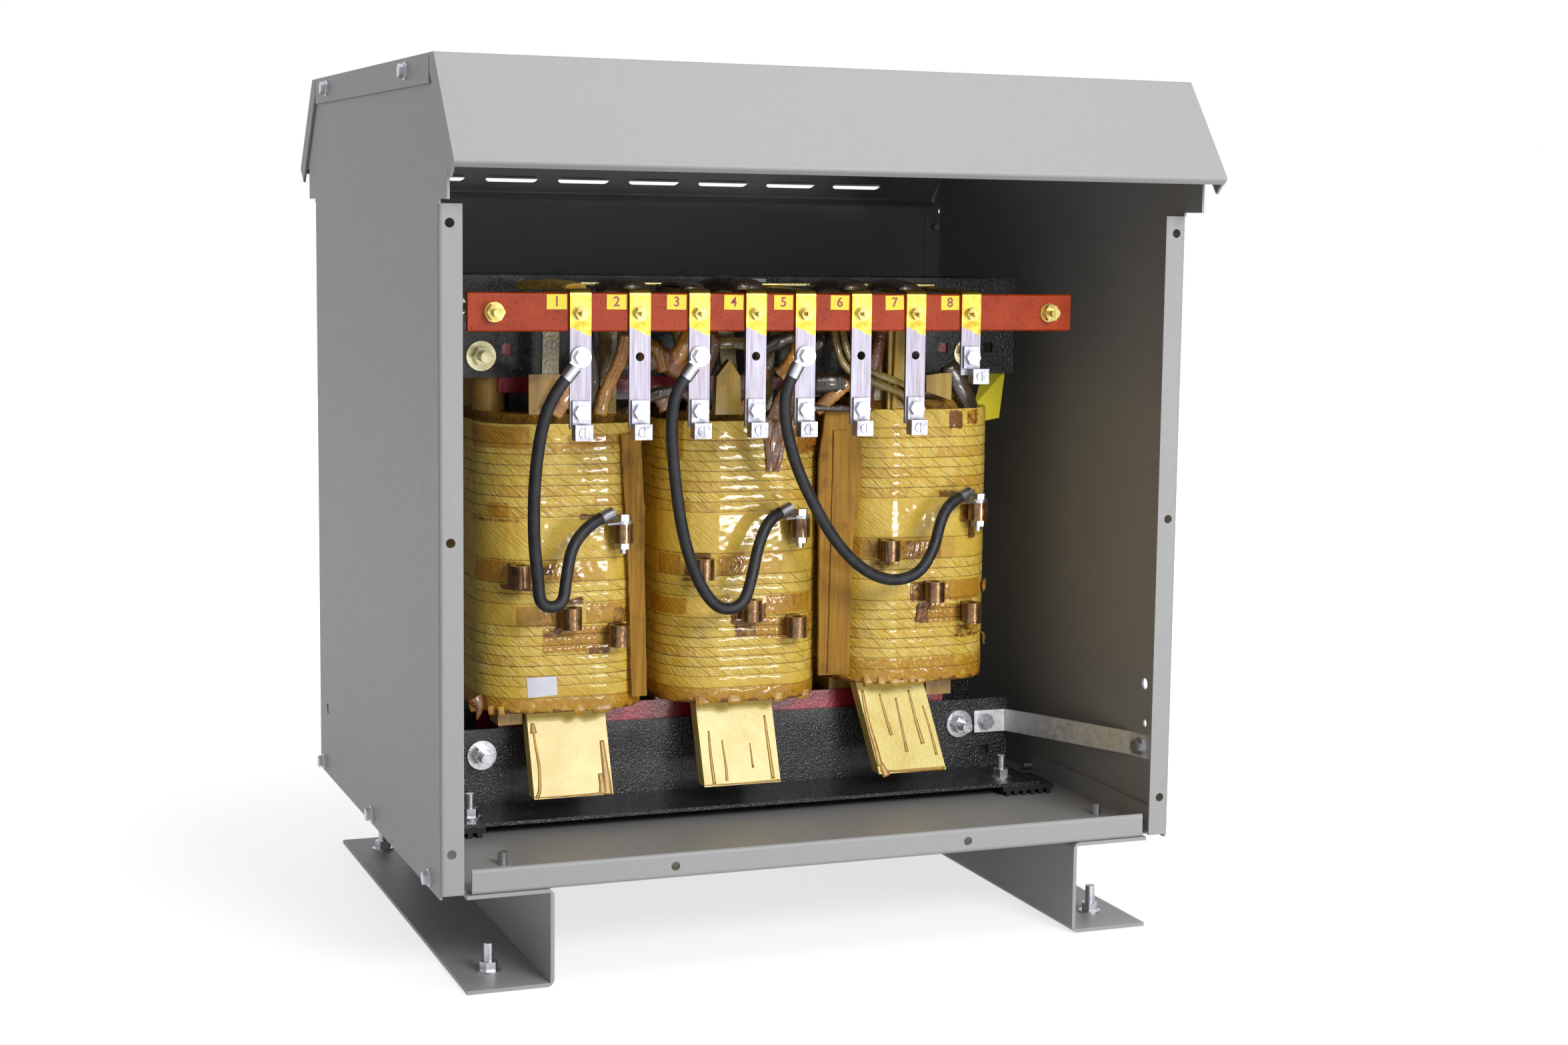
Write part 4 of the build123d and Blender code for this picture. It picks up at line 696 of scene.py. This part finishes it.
# labels, card and stickers

def strokesOf(text, size, extrude):
    curve = bpy.data.curves.new("digits", "FONT")
    curve.body = text
    curve.size = size
    curve.extrude = extrude
    curve.offset = size * 0.012
    curve.resolution_u = 4
    curve.align_x = "CENTER"
    curve.align_y = "CENTER"
    holder = bpy.data.objects.new("digits", curve)
    bpy.context.scene.collection.objects.link(holder)
    mesh = bpy.data.meshes.new_from_object(holder)
    bpy.data.objects.remove(holder)
    return mesh


barFaceY = -0.138
labelSize = (0.0164, 0.00035, 0.0119)
labelTop = 0.5266
labelGap = 0.0018
halfStrap = 0.00875
digitSize = 0.0112

labelBed = bmesh.new()
labelDraw = random.Random(5)
for number, x in enumerate(strapXs, 1):
    middle = (x - halfStrap - labelGap - labelSize[0] / 2, barFaceY - labelSize[1] / 2 - 0.0001,
              labelTop - labelSize[2] / 2)
    tilt = math.radians(labelDraw.uniform(-1.6, 1.2))
    slab(labelBed, labelSize, middle, (0, tilt, 0))
    digit = strokesOf(str(number), digitSize, 0.00006)
    digit.transform(Matrix.Translation((middle[0], middle[1] - labelSize[1] / 2 - 0.00005, middle[2]))
                    @ Matrix.Rotation(tilt, 4, "Y") @ Matrix.Rotation(math.pi / 2, 4, "X"))
    addPiece(f"labelDigit{number}", digit, finishes["digit"])
addPiece("barLabels", meshFrom("barLabels", labelBed, False), finishes["label"])

card = {"y": -0.0093, "top": 0.4545, "curl": 0.1, "thick": 0.0003,
        "corners": [(0.2403, 0.4545), (0.2622, 0.4545), (0.2571, 0.4121), (0.2398, 0.4093),
                    (0.2317, 0.4236)]}
cardBed = bmesh.new()
cardFace = cardBed.faces.new([cardBed.verts.new((x, card["y"] - card["curl"] * (card["top"] - z) ** 2, z))
                              for x, z in card["corners"]])
bmesh.ops.solidify(cardBed, geom=[cardFace], thickness=card["thick"])
addPiece("yellowCard", meshFrom("yellowCard", cardBed, False), finishes["label"])


def onCoil(coil, corners, out, thick, name, finish, ripple=0.0, seed=1):
    # a thin sheet laid on a coil; corners are (station, height) in millimetres, clockwise from top left
    facts = coils[coil]
    (a, b, c, d) = corners
    bm = bmesh.new()
    for vertex in bmesh.ops.create_grid(bm, x_segments=10, y_segments=6, size=0.5)["verts"]:
        u, v = vertex.co.x + 0.5, 0.5 - vertex.co.y
        s = (a[0] * (1 - u) + b[0] * u) * (1 - v) + (d[0] * (1 - u) + c[0] * u) * v
        z = (a[1] * (1 - u) + b[1] * u) * (1 - v) + (d[1] * (1 - u) + c[1] * u) * v
        lift = ripple * (0.5 + noise.noise((s * 0.25, z * 0.25, seed * 3.7)))
        x, y = coilPoint(s / 1000, (out + lift) / 1000)
        vertex.co = (x + facts["x"], y, z / 1000 + facts["lift"])
    bmesh.ops.recalc_face_normals(bm, faces=bm.faces)
    bmesh.ops.solidify(bm, geom=list(bm.faces), thickness=-thick / 1000)
    addPiece(name, meshFrom(name, bm, False), finish)


onCoil("coilLeft", [(-38, 207), (-13, 207.5), (-12, 191.5), (-37, 190)], 0.5, 0.25, "coilSticker",
       finishes["paper"])
print("labels on")


# leads wrapped in tape, boards and drips

def smoothPath(points, steps=7):
    # a rounded way through the given points
    ends = [points[0]] + list(points) + [points[-1]]
    way = []
    for a, b, c, d in zip(ends, ends[1:], ends[2:], ends[3:]):
        a, b, c, d = Vector(a), Vector(b), Vector(c), Vector(d)
        for i in range(steps):
            t = i / steps
            way.append(0.5 * (2 * b + (c - a) * t + (2 * a - 5 * b + 4 * c - d) * t * t
                              + (3 * b - a - 3 * c + d) * t ** 3))
    return way + [Vector(points[-1])]


def sweep(bm, points, width, thick, facing=(0, 1, 0), ridge=0.1, pitch=5.0, sides=12, seed=1, taper=(1, 1),
          square=0.75):
    # a flattened tube in millimetres along a path, its laps standing out a little
    way = smoothPath(points)
    run, rings = 0.0, []
    for number, spot in enumerate(way):
        ahead = way[min(number + 1, len(way) - 1)] - way[max(number - 1, 0)]
        side = ahead.cross(Vector(facing)).normalized()
        front = side.cross(ahead).normalized()
        run += (spot - way[max(number - 1, 0)]).length
        swell = 1 + ridge * (2 * ((run / pitch) % 1.0) - 1)
        swell += 0.1 * noise.noise((run * 0.12, seed * 5.1, 0.0))
        swell *= taper[0] + (taper[1] - taper[0]) * number / (len(way) - 1)
        ring = []
        for i in range(sides):
            angle = 2 * math.pi * i / sides
            c, n = math.cos(angle), math.sin(angle)
            c, n = math.copysign(abs(c) ** square, c), math.copysign(abs(n) ** square, n)
            ring.append((spot + (side * c * width / 2 + front * n * thick / 2) * swell) / 1000)
        rings.append(ring)
    loft(bm, rings)


# runs of lead: points, width, thickness and, where it is set, the pitch of the laps, in millimetres
leads = {
    "wrapAmber": [
        ([(-136, -72, 425), (-131, -74, 446), (-121, -78, 470), (-117, -84, 492)], 12, 6),
        ([(-174, -68, 425), (-167, -70, 437), (-160, -70, 449)], 15, 4),
        ([(-80, -76, 460), (-70, -80, 477), (-60, -78, 493)], 15, 9),
        ([(34, -84, 494), (31, -88, 478), (24, -88, 466), (17, -84, 458)], 14, 10),
        ([(-14, -68, 425), (0, -72, 444), (9, -70, 462)], 10, 5),
        ([(58, -64, 425), (70, -70, 438), (84, -72, 450)], 12, 6),
        ([(-100, -78, 488), (-90, -84, 478), (-84, -80, 462)], 10, 8),
    ],
    "wrapBrown": [
        ([(-102, -74, 468), (-84, -78, 471), (-64, -72, 460)], 21, 14),
        ([(-92, -72, 447), (-84, -74, 440), (-78, -72, 430)], 14, 5),
        ([(37, -74, 468), (30, -78, 450), (20, -76, 432), (16, -72, 419)], 13, 4),
        ([(-47, -80, 506), (-41, -84, 487), (-45, -82, 468), (-54, -78, 448), (-58, -72, 425)], 10, 7),
        ([(0, -70, 425), (-5, -76, 448), (2, -78, 474), (7, -76, 500)], 11, 6),
        ([(108, -62, 425), (104, -68, 444), (110, -70, 470), (118, -66, 505)], 12, 7),
    ],
    "wrapDark": [
        ([(54, -68, 449), (70, -70, 449.5), (88, -68, 449)], 17, 12),
        ([(42, -66, 428), (60, -68, 428), (94, -66, 427)], 6, 6),
        ([(184, -56, 464), (192, -60, 449), (199, -60, 437), (206, -56, 425)], 17, 12),
        ([(-152, -70, 425), (-143, -74, 452), (-147, -72, 486), (-152, -66, 520)], 12, 8),
        ([(-114, -74, 426), (-96, -78, 440), (-70, -76, 444), (-48, -70, 434)], 10, 8),
        ([(-4, -80, 476), (14, -86, 486), (28, -86, 491)], 13, 10),
        ([(-98, -70, 500), (-80, -76, 505), (-60, -70, 512)], 14, 9),
        ([(44, -66, 478), (58, -70, 484), (64, -66, 500)], 12, 9),
    ],
    "wrapOlive": [
        ([(74, -78, 508), (76, -82, 486), (84, -82, 469), (106, -80, 458), (138, -74, 446),
          (151, -68, 430)], 6.6, 6, 30),
        ([(67, -78, 508), (69, -82, 482), (79, -82, 463), (104, -80, 451), (136, -74, 438),
          (145, -68, 426)], 6.6, 6, 30),
        ([(-48, -70, 482), (-24, -72, 484), (0, -68, 482)], 11, 9),
    ],
}
# wraps over the straps where they run back: strap, drift, width, thickness
strapWraps = {
    "wrapDark": [(-0.123, -3, 22, 10), (-0.0245, -14, 26, 13), (-0.0245, 8, 20, 10), (0.068, -8, 22, 11),
                 (0.117, -5, 21, 9), (-0.073, -2, 19, 6)],
    "wrapGold": [(-0.172, -14, 20, 8)],
}
leadDraw = random.Random(41)
for finish, runs in leads.items():
    bm = bmesh.new()
    for number, (points, width, thick, *pitch) in enumerate(runs):
        drawn = leadDraw.uniform(4.0, 6.5)
        sweep(bm, points, width, thick, pitch=pitch[0] if pitch else drawn, seed=number + 3)
    for x, drift, width, thick in strapWraps.get(finish, []):
        x *= 1000
        way = [(x, -127, 531), (x + drift * 0.3, -108, 534), (x + drift * 0.8, -84, 534),
               (x + drift, -58, 529)]
        sweep(bm, way, width, thick, (0, 0, 1), 0.05, 7.0, 14, seed=x * 0.1, square=0.85)
    title = "leads" + finish[4:]
    addPiece(title, meshFrom(title, bm), finishes[finish])

boardEdge = 0.0008
goldBed = bmesh.new()
for x, drift, width, thick in strapWraps["wrapGold"]:
    x *= 1000
    way = [(x, -127, 531), (x + drift * 0.4, -108, 533), (x + drift, -84, 533), (x + drift * 1.6, -58, 531)]
    sweep(goldBed, way, width, thick, (0, 0, 1), 0.05, 7.0, 14)
outlineBoard(goldBed, [(-36, 424), (-13, 424), (-14, 456), (-24, 470), (-35, 456)], -0.0735, 0.009)
slab(goldBed, (0.019, 0.005, 0.07), (0.1335, -0.0625, 0.461), edge=boardEdge)
slab(goldBed, (0.0045, 0.005, 0.07), (0.13, -0.0665, 0.461), (0, 0.03, 0.1), boardEdge)
outlineBoard(goldBed, [(160, 441), (184, 433), (184, 457), (176, 457), (160, 455)], -0.066, 0.003)
addPiece("leadBoards", meshFrom("leadBoards", goldBed, False), finishes["wrapGold"])

# loose flaps of tape: name, coil, corners, finish and how far they stand out
tapeFlaps = [
    ("brownFlap", "coilMiddle", [(8, 424), (35, 424), (24, 374), (13, 375)], "wrapBrown", 1.6),
    ("amberFlap", "coilMiddle", [(36, 424), (66, 410), (70, 396), (31, 386)], "wrapAmber", 0.9),
    ("sideFlap", "coilLeft", [(-2, 271), (9, 273.5), (10, 270.5), (-3, 268)], "wrapBrown", 0.9),
    ("stubFlap", "coilLeft", [(-60, 285), (-33, 283), (-33, 280), (-58, 281)], "wrapBrown", 0.7),
    ("middleFlap", "coilMiddle", [(-18, 254), (14, 261), (13, 257), (-16, 247)], "wrapBrown", 0.9),
    ("rightFlap", "coilRight", [(-6, 247), (6, 246), (-1, 231), (-9, 230)], "wrapBrown", 0.8),
    ("cornerFlap", "coilRight", [(62, 262), (74, 264), (78, 256), (66, 252)], "wrapAmber", 2.0),
    ("lowFlap", "coilRight", [(64, 216), (80, 212), (84, 204), (68, 204)], "wrapAmber", 2.2),
]
for seed, (title, coil, corners, finish, out) in enumerate(tapeFlaps, 1):
    onCoil(coil, corners, out, 0.5, title, finishes[finish], ripple=1.8, seed=seed)

# long boards between the coils: thickness, then rows of height, left edge, right edge and front
boards = [
    (3.4, [(408, -116.5, -99.5, -68.2), (352, -113, -96.5, -68), (348, -112.4, -95.5, -68.4),
           (300, -109.5, -95.5, -67.4), (240, -107, -93.5, -66), (186, -105, -91.8, -64.6)]),
    (3.4, [(424, 68.5, 98, -59.5), (408, 67, 99, -59.8), (385, 63.5, 102.5, -60), (352, 63, 102.5, -60.2),
           (330, 63.5, 99, -60), (318, 64.5, 96, -60), (194, 65.5, 94, -60)]),
    (2.0, [(408, 76, 88, -61.6), (330, 75, 90, -61.8), (250, 74, 86, -61.6), (196, 73, 85, -61.6)]),
]
boardFray, boardWarp, boardStrips, boardStep = 0.5, 0.35, 8, 4
stickBed = bmesh.new()
for number, (thick, rows) in enumerate(boards):
    rings = []
    for (high, left, right, front), (low, left2, right2, front2) in zip(rows, rows[1:]):
        steps = max(2, round((high - low) / boardStep))
        for i in range(steps + (low == rows[-1][0])):
            t = i / steps
            z = high + (low - high) * t
            fray = [boardFray * noise.noise((z * 0.11, number * 4.0, side * 9.0)) for side in (0, 1)]
            a, b = left + (left2 - left) * t + fray[0], right + (right2 - right) * t + fray[1]
            y = front + (front2 - front) * t
            ring = []
            for k in range(boardStrips + 1):
                u = k / boardStrips
                ring.append((a + (b - a) * u, y + boardWarp * noise.noise((u * 6, z * 0.015, number)), z))
            ring += [(b, y + thick, z), (a, y + thick, z)]
            rings.append([(px / 1000, py / 1000, pz / 1000) for px, py, pz in ring])
    loft(stickBed, rings)
sticks = addPiece("woodSticks", meshFrom("woodSticks", stickBed, False), finishes["stick"])
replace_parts(sticks, "barrier_sticks")

# drips of varnish: on the tabs, and under the coils
# each tab: its top, then the ways and widths of its drips; the tab leans forward from its top
tabFoot, tabLean, tabFront = 105, 28, -44
drips = [
    (176, [
        ([(-186.5, 163), (-186, 150), (-184.5, 130), (-186, 112), (-189, 106)], 3.4),
        ([(-186.8, 165), (-186.4, 157)], 6.0),
        ([(-128.5, 148), (-128, 132), (-127.5, 118), (-127.5, 105)], 8.0),
        ([(-133, 122), (-132, 113), (-132, 106)], 7.0), ([(-189, 106.4), (-160, 106), (-126, 106.4)], 2.2),
    ]),
    (176, [
        ([(-33, 150), (-33.6, 130), (-33, 107)], 3.4), ([(-22, 142), (-21, 120), (-21.4, 109)], 2.8),
        ([(19, 160), (19.6, 138), (20.5, 108)], 3.6), ([(3, 138), (3.4, 118)], 2.0),
        ([(-41, 106.4), (-8, 106), (26, 106.4)], 2.0),
    ]),
    (184, [
        ([(112, 176), (114, 152), (119, 126), (121, 112)], 5.5),
        ([(128, 172), (132, 150), (135, 137)], 3.4), ([(143, 168), (146, 140), (148, 122)], 3.0),
        ([(156, 174), (160, 148), (164, 128)], 3.8), ([(168, 160), (172, 142), (176, 118)], 2.6),
        ([(121, 108), (140, 106.6), (182, 106.4)], 3.4), ([(122, 114), (126, 103)], 8.0),
    ]),
]
dripBed = bmesh.new()
number = 0
for top, runs in drips:
    for way, width in runs:
        lean = tabLean / (top - tabFoot)
        points = [(x, tabFront - (top - z) * lean - 0.3, z) for x, z in way]
        sweep(dripBed, points, width * 0.9, 0.9 + width * 0.08, ridge=0.0, sides=10, seed=number,
              taper=(0.5, 1.1), square=1.0)
        number += 1
feetDrips = {"count": 7, "wide": (9.0, 22.0), "reach": (0.4, 2.4), "thick": 2.2}
for facts in coils.values():
    dripDraw = random.Random(facts["seed"] + 50)
    for number in range(feetDrips["count"]):
        s = dripDraw.uniform(-96, 72) / 1000
        x, y = coilPoint(s, -0.0012)
        x, y, z = (x + facts["x"]) * 1000, y * 1000, coilBottom * 1000 + facts["lift"] * 1000
        reach = dripDraw.uniform(*feetDrips["reach"])
        sweep(dripBed, [(x, y, z + 6), (x, y - 0.6, z + 1), (x + 0.3, y - 0.4, z - reach)],
              dripDraw.uniform(*feetDrips["wide"]), feetDrips["thick"], ridge=0.0, sides=14, seed=number,
              taper=(0.8, 0.6), square=1.0)
sweep(dripBed, [(203, -63.2, 229), (203.6, -62.6, 218), (202.2, -63, 206)], 2.6, 2.0, ridge=0.0, sides=10,
      seed=3, taper=(1.0, 0.8), square=1.0)
addPiece("varnishDrips", meshFrom("varnishDrips", dripBed), finishes["drip"])

# loose ends: frayed fibres by the second tap of the left coil, a splinter under it, bare paper on the clamp
fibreBed = bmesh.new()
fibreDraw = random.Random(77)
fibreCount, fibreTop = 9, 249
for number in range(fibreCount):
    x, y = coilPoint(fibreDraw.uniform(-12, -8) / 1000, 0.0016)
    x, y, z = x * 1000 + coils["coilLeft"]["x"] * 1000, y * 1000, fibreTop - number * 0.5
    way = [(x, y, z), (x - fibreDraw.uniform(3, 7), y - 1.2, z - 3),
           (x - fibreDraw.uniform(8, 17), y - 1.0, fibreTop - 4 - fibreDraw.uniform(0, 5))]
    sweep(fibreBed, way, 1.1, 0.6, ridge=0.0, sides=6, seed=number, taper=(1.2, 0.3))
sweep(fibreBed, [(-235, -44, 189), (-231, -45, 180), (-233, -45, 170)], 14, 4, ridge=0.0, sides=8,
      taper=(1.0, 0.08))
addPiece("looseEnds", meshFrom("looseEnds", fibreBed), finishes["wrapBrown"])
paperBed = bmesh.new()
slab(paperBed, (0.034, 0.0003, 0.013), (0.0125, -0.01345, 0.53))
addPiece("clampPaper", meshFrom("clampPaper", paperBed, False), finishes["paper"])
print("leads, boards and drips done")


# the three tap cables, on the same route points as their solids, in millimetres

cables = {
    "cableLeft": {
        "node": "cable_1", "length": 0.2967,
        "points": [
            (-186, -147.5, 460), (-194, -147, 450), (-203, -142, 427), (-207, -131, 380),
            (-204, -118, 328), (-198.5, -111, 298), (-196.5, -108.5, 273), (-176, -105, 271.5),
            (-172, -101, 296), (-166, -95, 320), (-149.2, -88.3, 336.4), (-138.6, -84.6, 340.5),
        ],
    },
    "cableMiddle": {
        "node": "cable_2", "length": 0.3242,
        "points": [
            (-87, -147.5, 460), (-94.5, -147, 450), (-97, -141, 425), (-90, -131, 377), (-79, -121, 326),
            (-62, -113, 285), (-42, -108, 262.5), (-20, -105, 266), (-11, -100, 290), (-4, -95, 316),
            (7.8, -88.3, 336.4), (18.4, -84.6, 340.5),
        ],
    },
    "cableRight": {
        "node": "cable_3", "length": 0.3379,
        "points": [
            (4.5, -147.5, 460), (-1, -147, 449), (1, -141, 424), (14, -133, 386), (33, -127, 352),
            (55, -120, 320), (82, -113, 294), (112, -108, 281), (140, -104, 286), (156, -99, 307),
            (164, -93, 331), (174.8, -88.3, 345.4), (185.4, -84.6, 349.5),
        ],
    },
}
cableDiameter = 0.01


def buildCable(name, facts):
    curve = bpy.data.curves.new(name, "CURVE")
    curve.dimensions = "3D"
    curve.bevel_depth = cableDiameter / 2
    curve.bevel_resolution = 6
    curve.resolution_u = 12
    curve.use_fill_caps = True
    spline = curve.splines.new("NURBS")
    way = [tuple(value / 1000 for value in point) for point in facts["points"]]
    spline.points.add(len(way) - 1)
    for point, spot in zip(spline.points, way):
        point.co = (*spot, 1.0)
    spline.order_u = 3
    spline.use_endpoint_u = True
    curve.materials.append(finishes["cable"])
    piece = bpy.data.objects.new(name, curve)
    bpy.context.scene.collection.objects.link(piece)
    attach(piece, "root")
    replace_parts(piece, facts["node"])


for name, facts in cables.items():
    buildCable(name, facts)
print("cables laid")


# floor, light and camera

def whiteForCamera(tree):
    # what the camera and mirrors see is white; the floor keeps its shading for the rest
    path = addNode(tree, "ShaderNodeLightPath")
    seen = calc(tree, "MAXIMUM", path.outputs["Is Camera Ray"], path.outputs["Is Glossy Ray"])
    return calc(tree, "MAXIMUM", seen, path.outputs["Is Transmission Ray"])


skyStrength = 0.26
floorFade = {"near": 0.5, "far": 1.6, "nearGlow": 0.72}   # the floor turns white away from the object
world = bpy.data.worlds.new("studio")
bpy.context.scene.world = world
world.use_nodes = True
worldTree = world.node_tree
background = worldTree.nodes["Background"]
seen = whiteForCamera(worldTree)
background.inputs["Color"].default_value = (1.0, 1.0, 1.0, 1.0)
strength = spread(worldTree, seen, 0.0, 1.0, skyStrength, 1.0)
worldTree.links.new(strength, background.inputs["Strength"])

bpy.ops.mesh.primitive_plane_add(size=12.0, location=(0, 0, -0.0005))
floor = bpy.context.object
floor.name = "studioFloor"
floorMaterial, floorTree, floorShader = newMaterial("studioFloor", (0.5, 0.5, 0.5), 0.7)
far = addNode(floorTree, "ShaderNodeVectorMath", {"operation": "LENGTH"},
              Vector=addNode(floorTree, "ShaderNodeTexCoord").outputs["Object"]).outputs["Value"]
fade = spread(floorTree, far, floorFade["near"], floorFade["far"], floorFade["nearGlow"], 1.0)
glow = times(floorTree, whiteForCamera(floorTree), fade)
floorShader.inputs["Emission Color"].default_value = (1.0, 1.0, 1.0, 1.0)
wire(floorTree, floorShader, Emission_Strength=glow)
floor.data.materials.append(floorMaterial)
floor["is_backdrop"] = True

lamps = {
    "keyLamp": {"at": (0.78, -2.35, 0.07), "size": 0.5, "tall": 0.12, "power": 11.0},
    "frontLamp": {"at": (0.6, -2.6, 1.5), "size": 1.1, "tall": 0.8, "power": 46.0},
    "topLamp": {"at": (0.3, -0.5, 2.7), "size": 1.6, "tall": 1.6, "power": 20.0},
}
aim = Vector((0.0, 0.0, 0.34))
for name, facts in lamps.items():
    light = bpy.data.lights.new(name, "AREA")
    light.shape = "RECTANGLE"
    light.size = facts["size"]
    light.size_y = facts["tall"]
    light.energy = facts["power"]
    lamp = bpy.data.objects.new(name, light)
    lamp.location = facts["at"]
    lamp.rotation_euler = (aim - Vector(facts["at"])).to_track_quat("-Z", "Y").to_euler()
    bpy.context.scene.collection.objects.link(lamp)

viewpoint = {"at": (-0.72681, -2.09844, 0.59225), "yaw": 22.7335, "pitch": 6.8615, "roll": 0.98257,
             "lens": 58.496, "shift": -0.0655}
cameraData = bpy.data.cameras.new("camera")
camera = bpy.data.objects.new("camera", cameraData)
bpy.context.scene.collection.objects.link(camera)
camera.matrix_world = (
    Matrix.Translation(viewpoint["at"])
    @ Matrix.Rotation(math.radians(-viewpoint["yaw"]), 4, "Z")
    @ Matrix.Rotation(math.radians(90 - viewpoint["pitch"]), 4, "X")
    @ Matrix.Rotation(math.radians(viewpoint["roll"]), 4, "Z")
)
cameraData.sensor_width = 36.0
cameraData.lens = viewpoint["lens"]
cameraData.shift_x = viewpoint["shift"]
cameraData.clip_start = 0.05
cameraData.clip_end = 50.0
bpy.context.scene.camera = camera
bpy.context.scene.view_settings.view_transform = "Standard"
print("studio ready")

low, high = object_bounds()
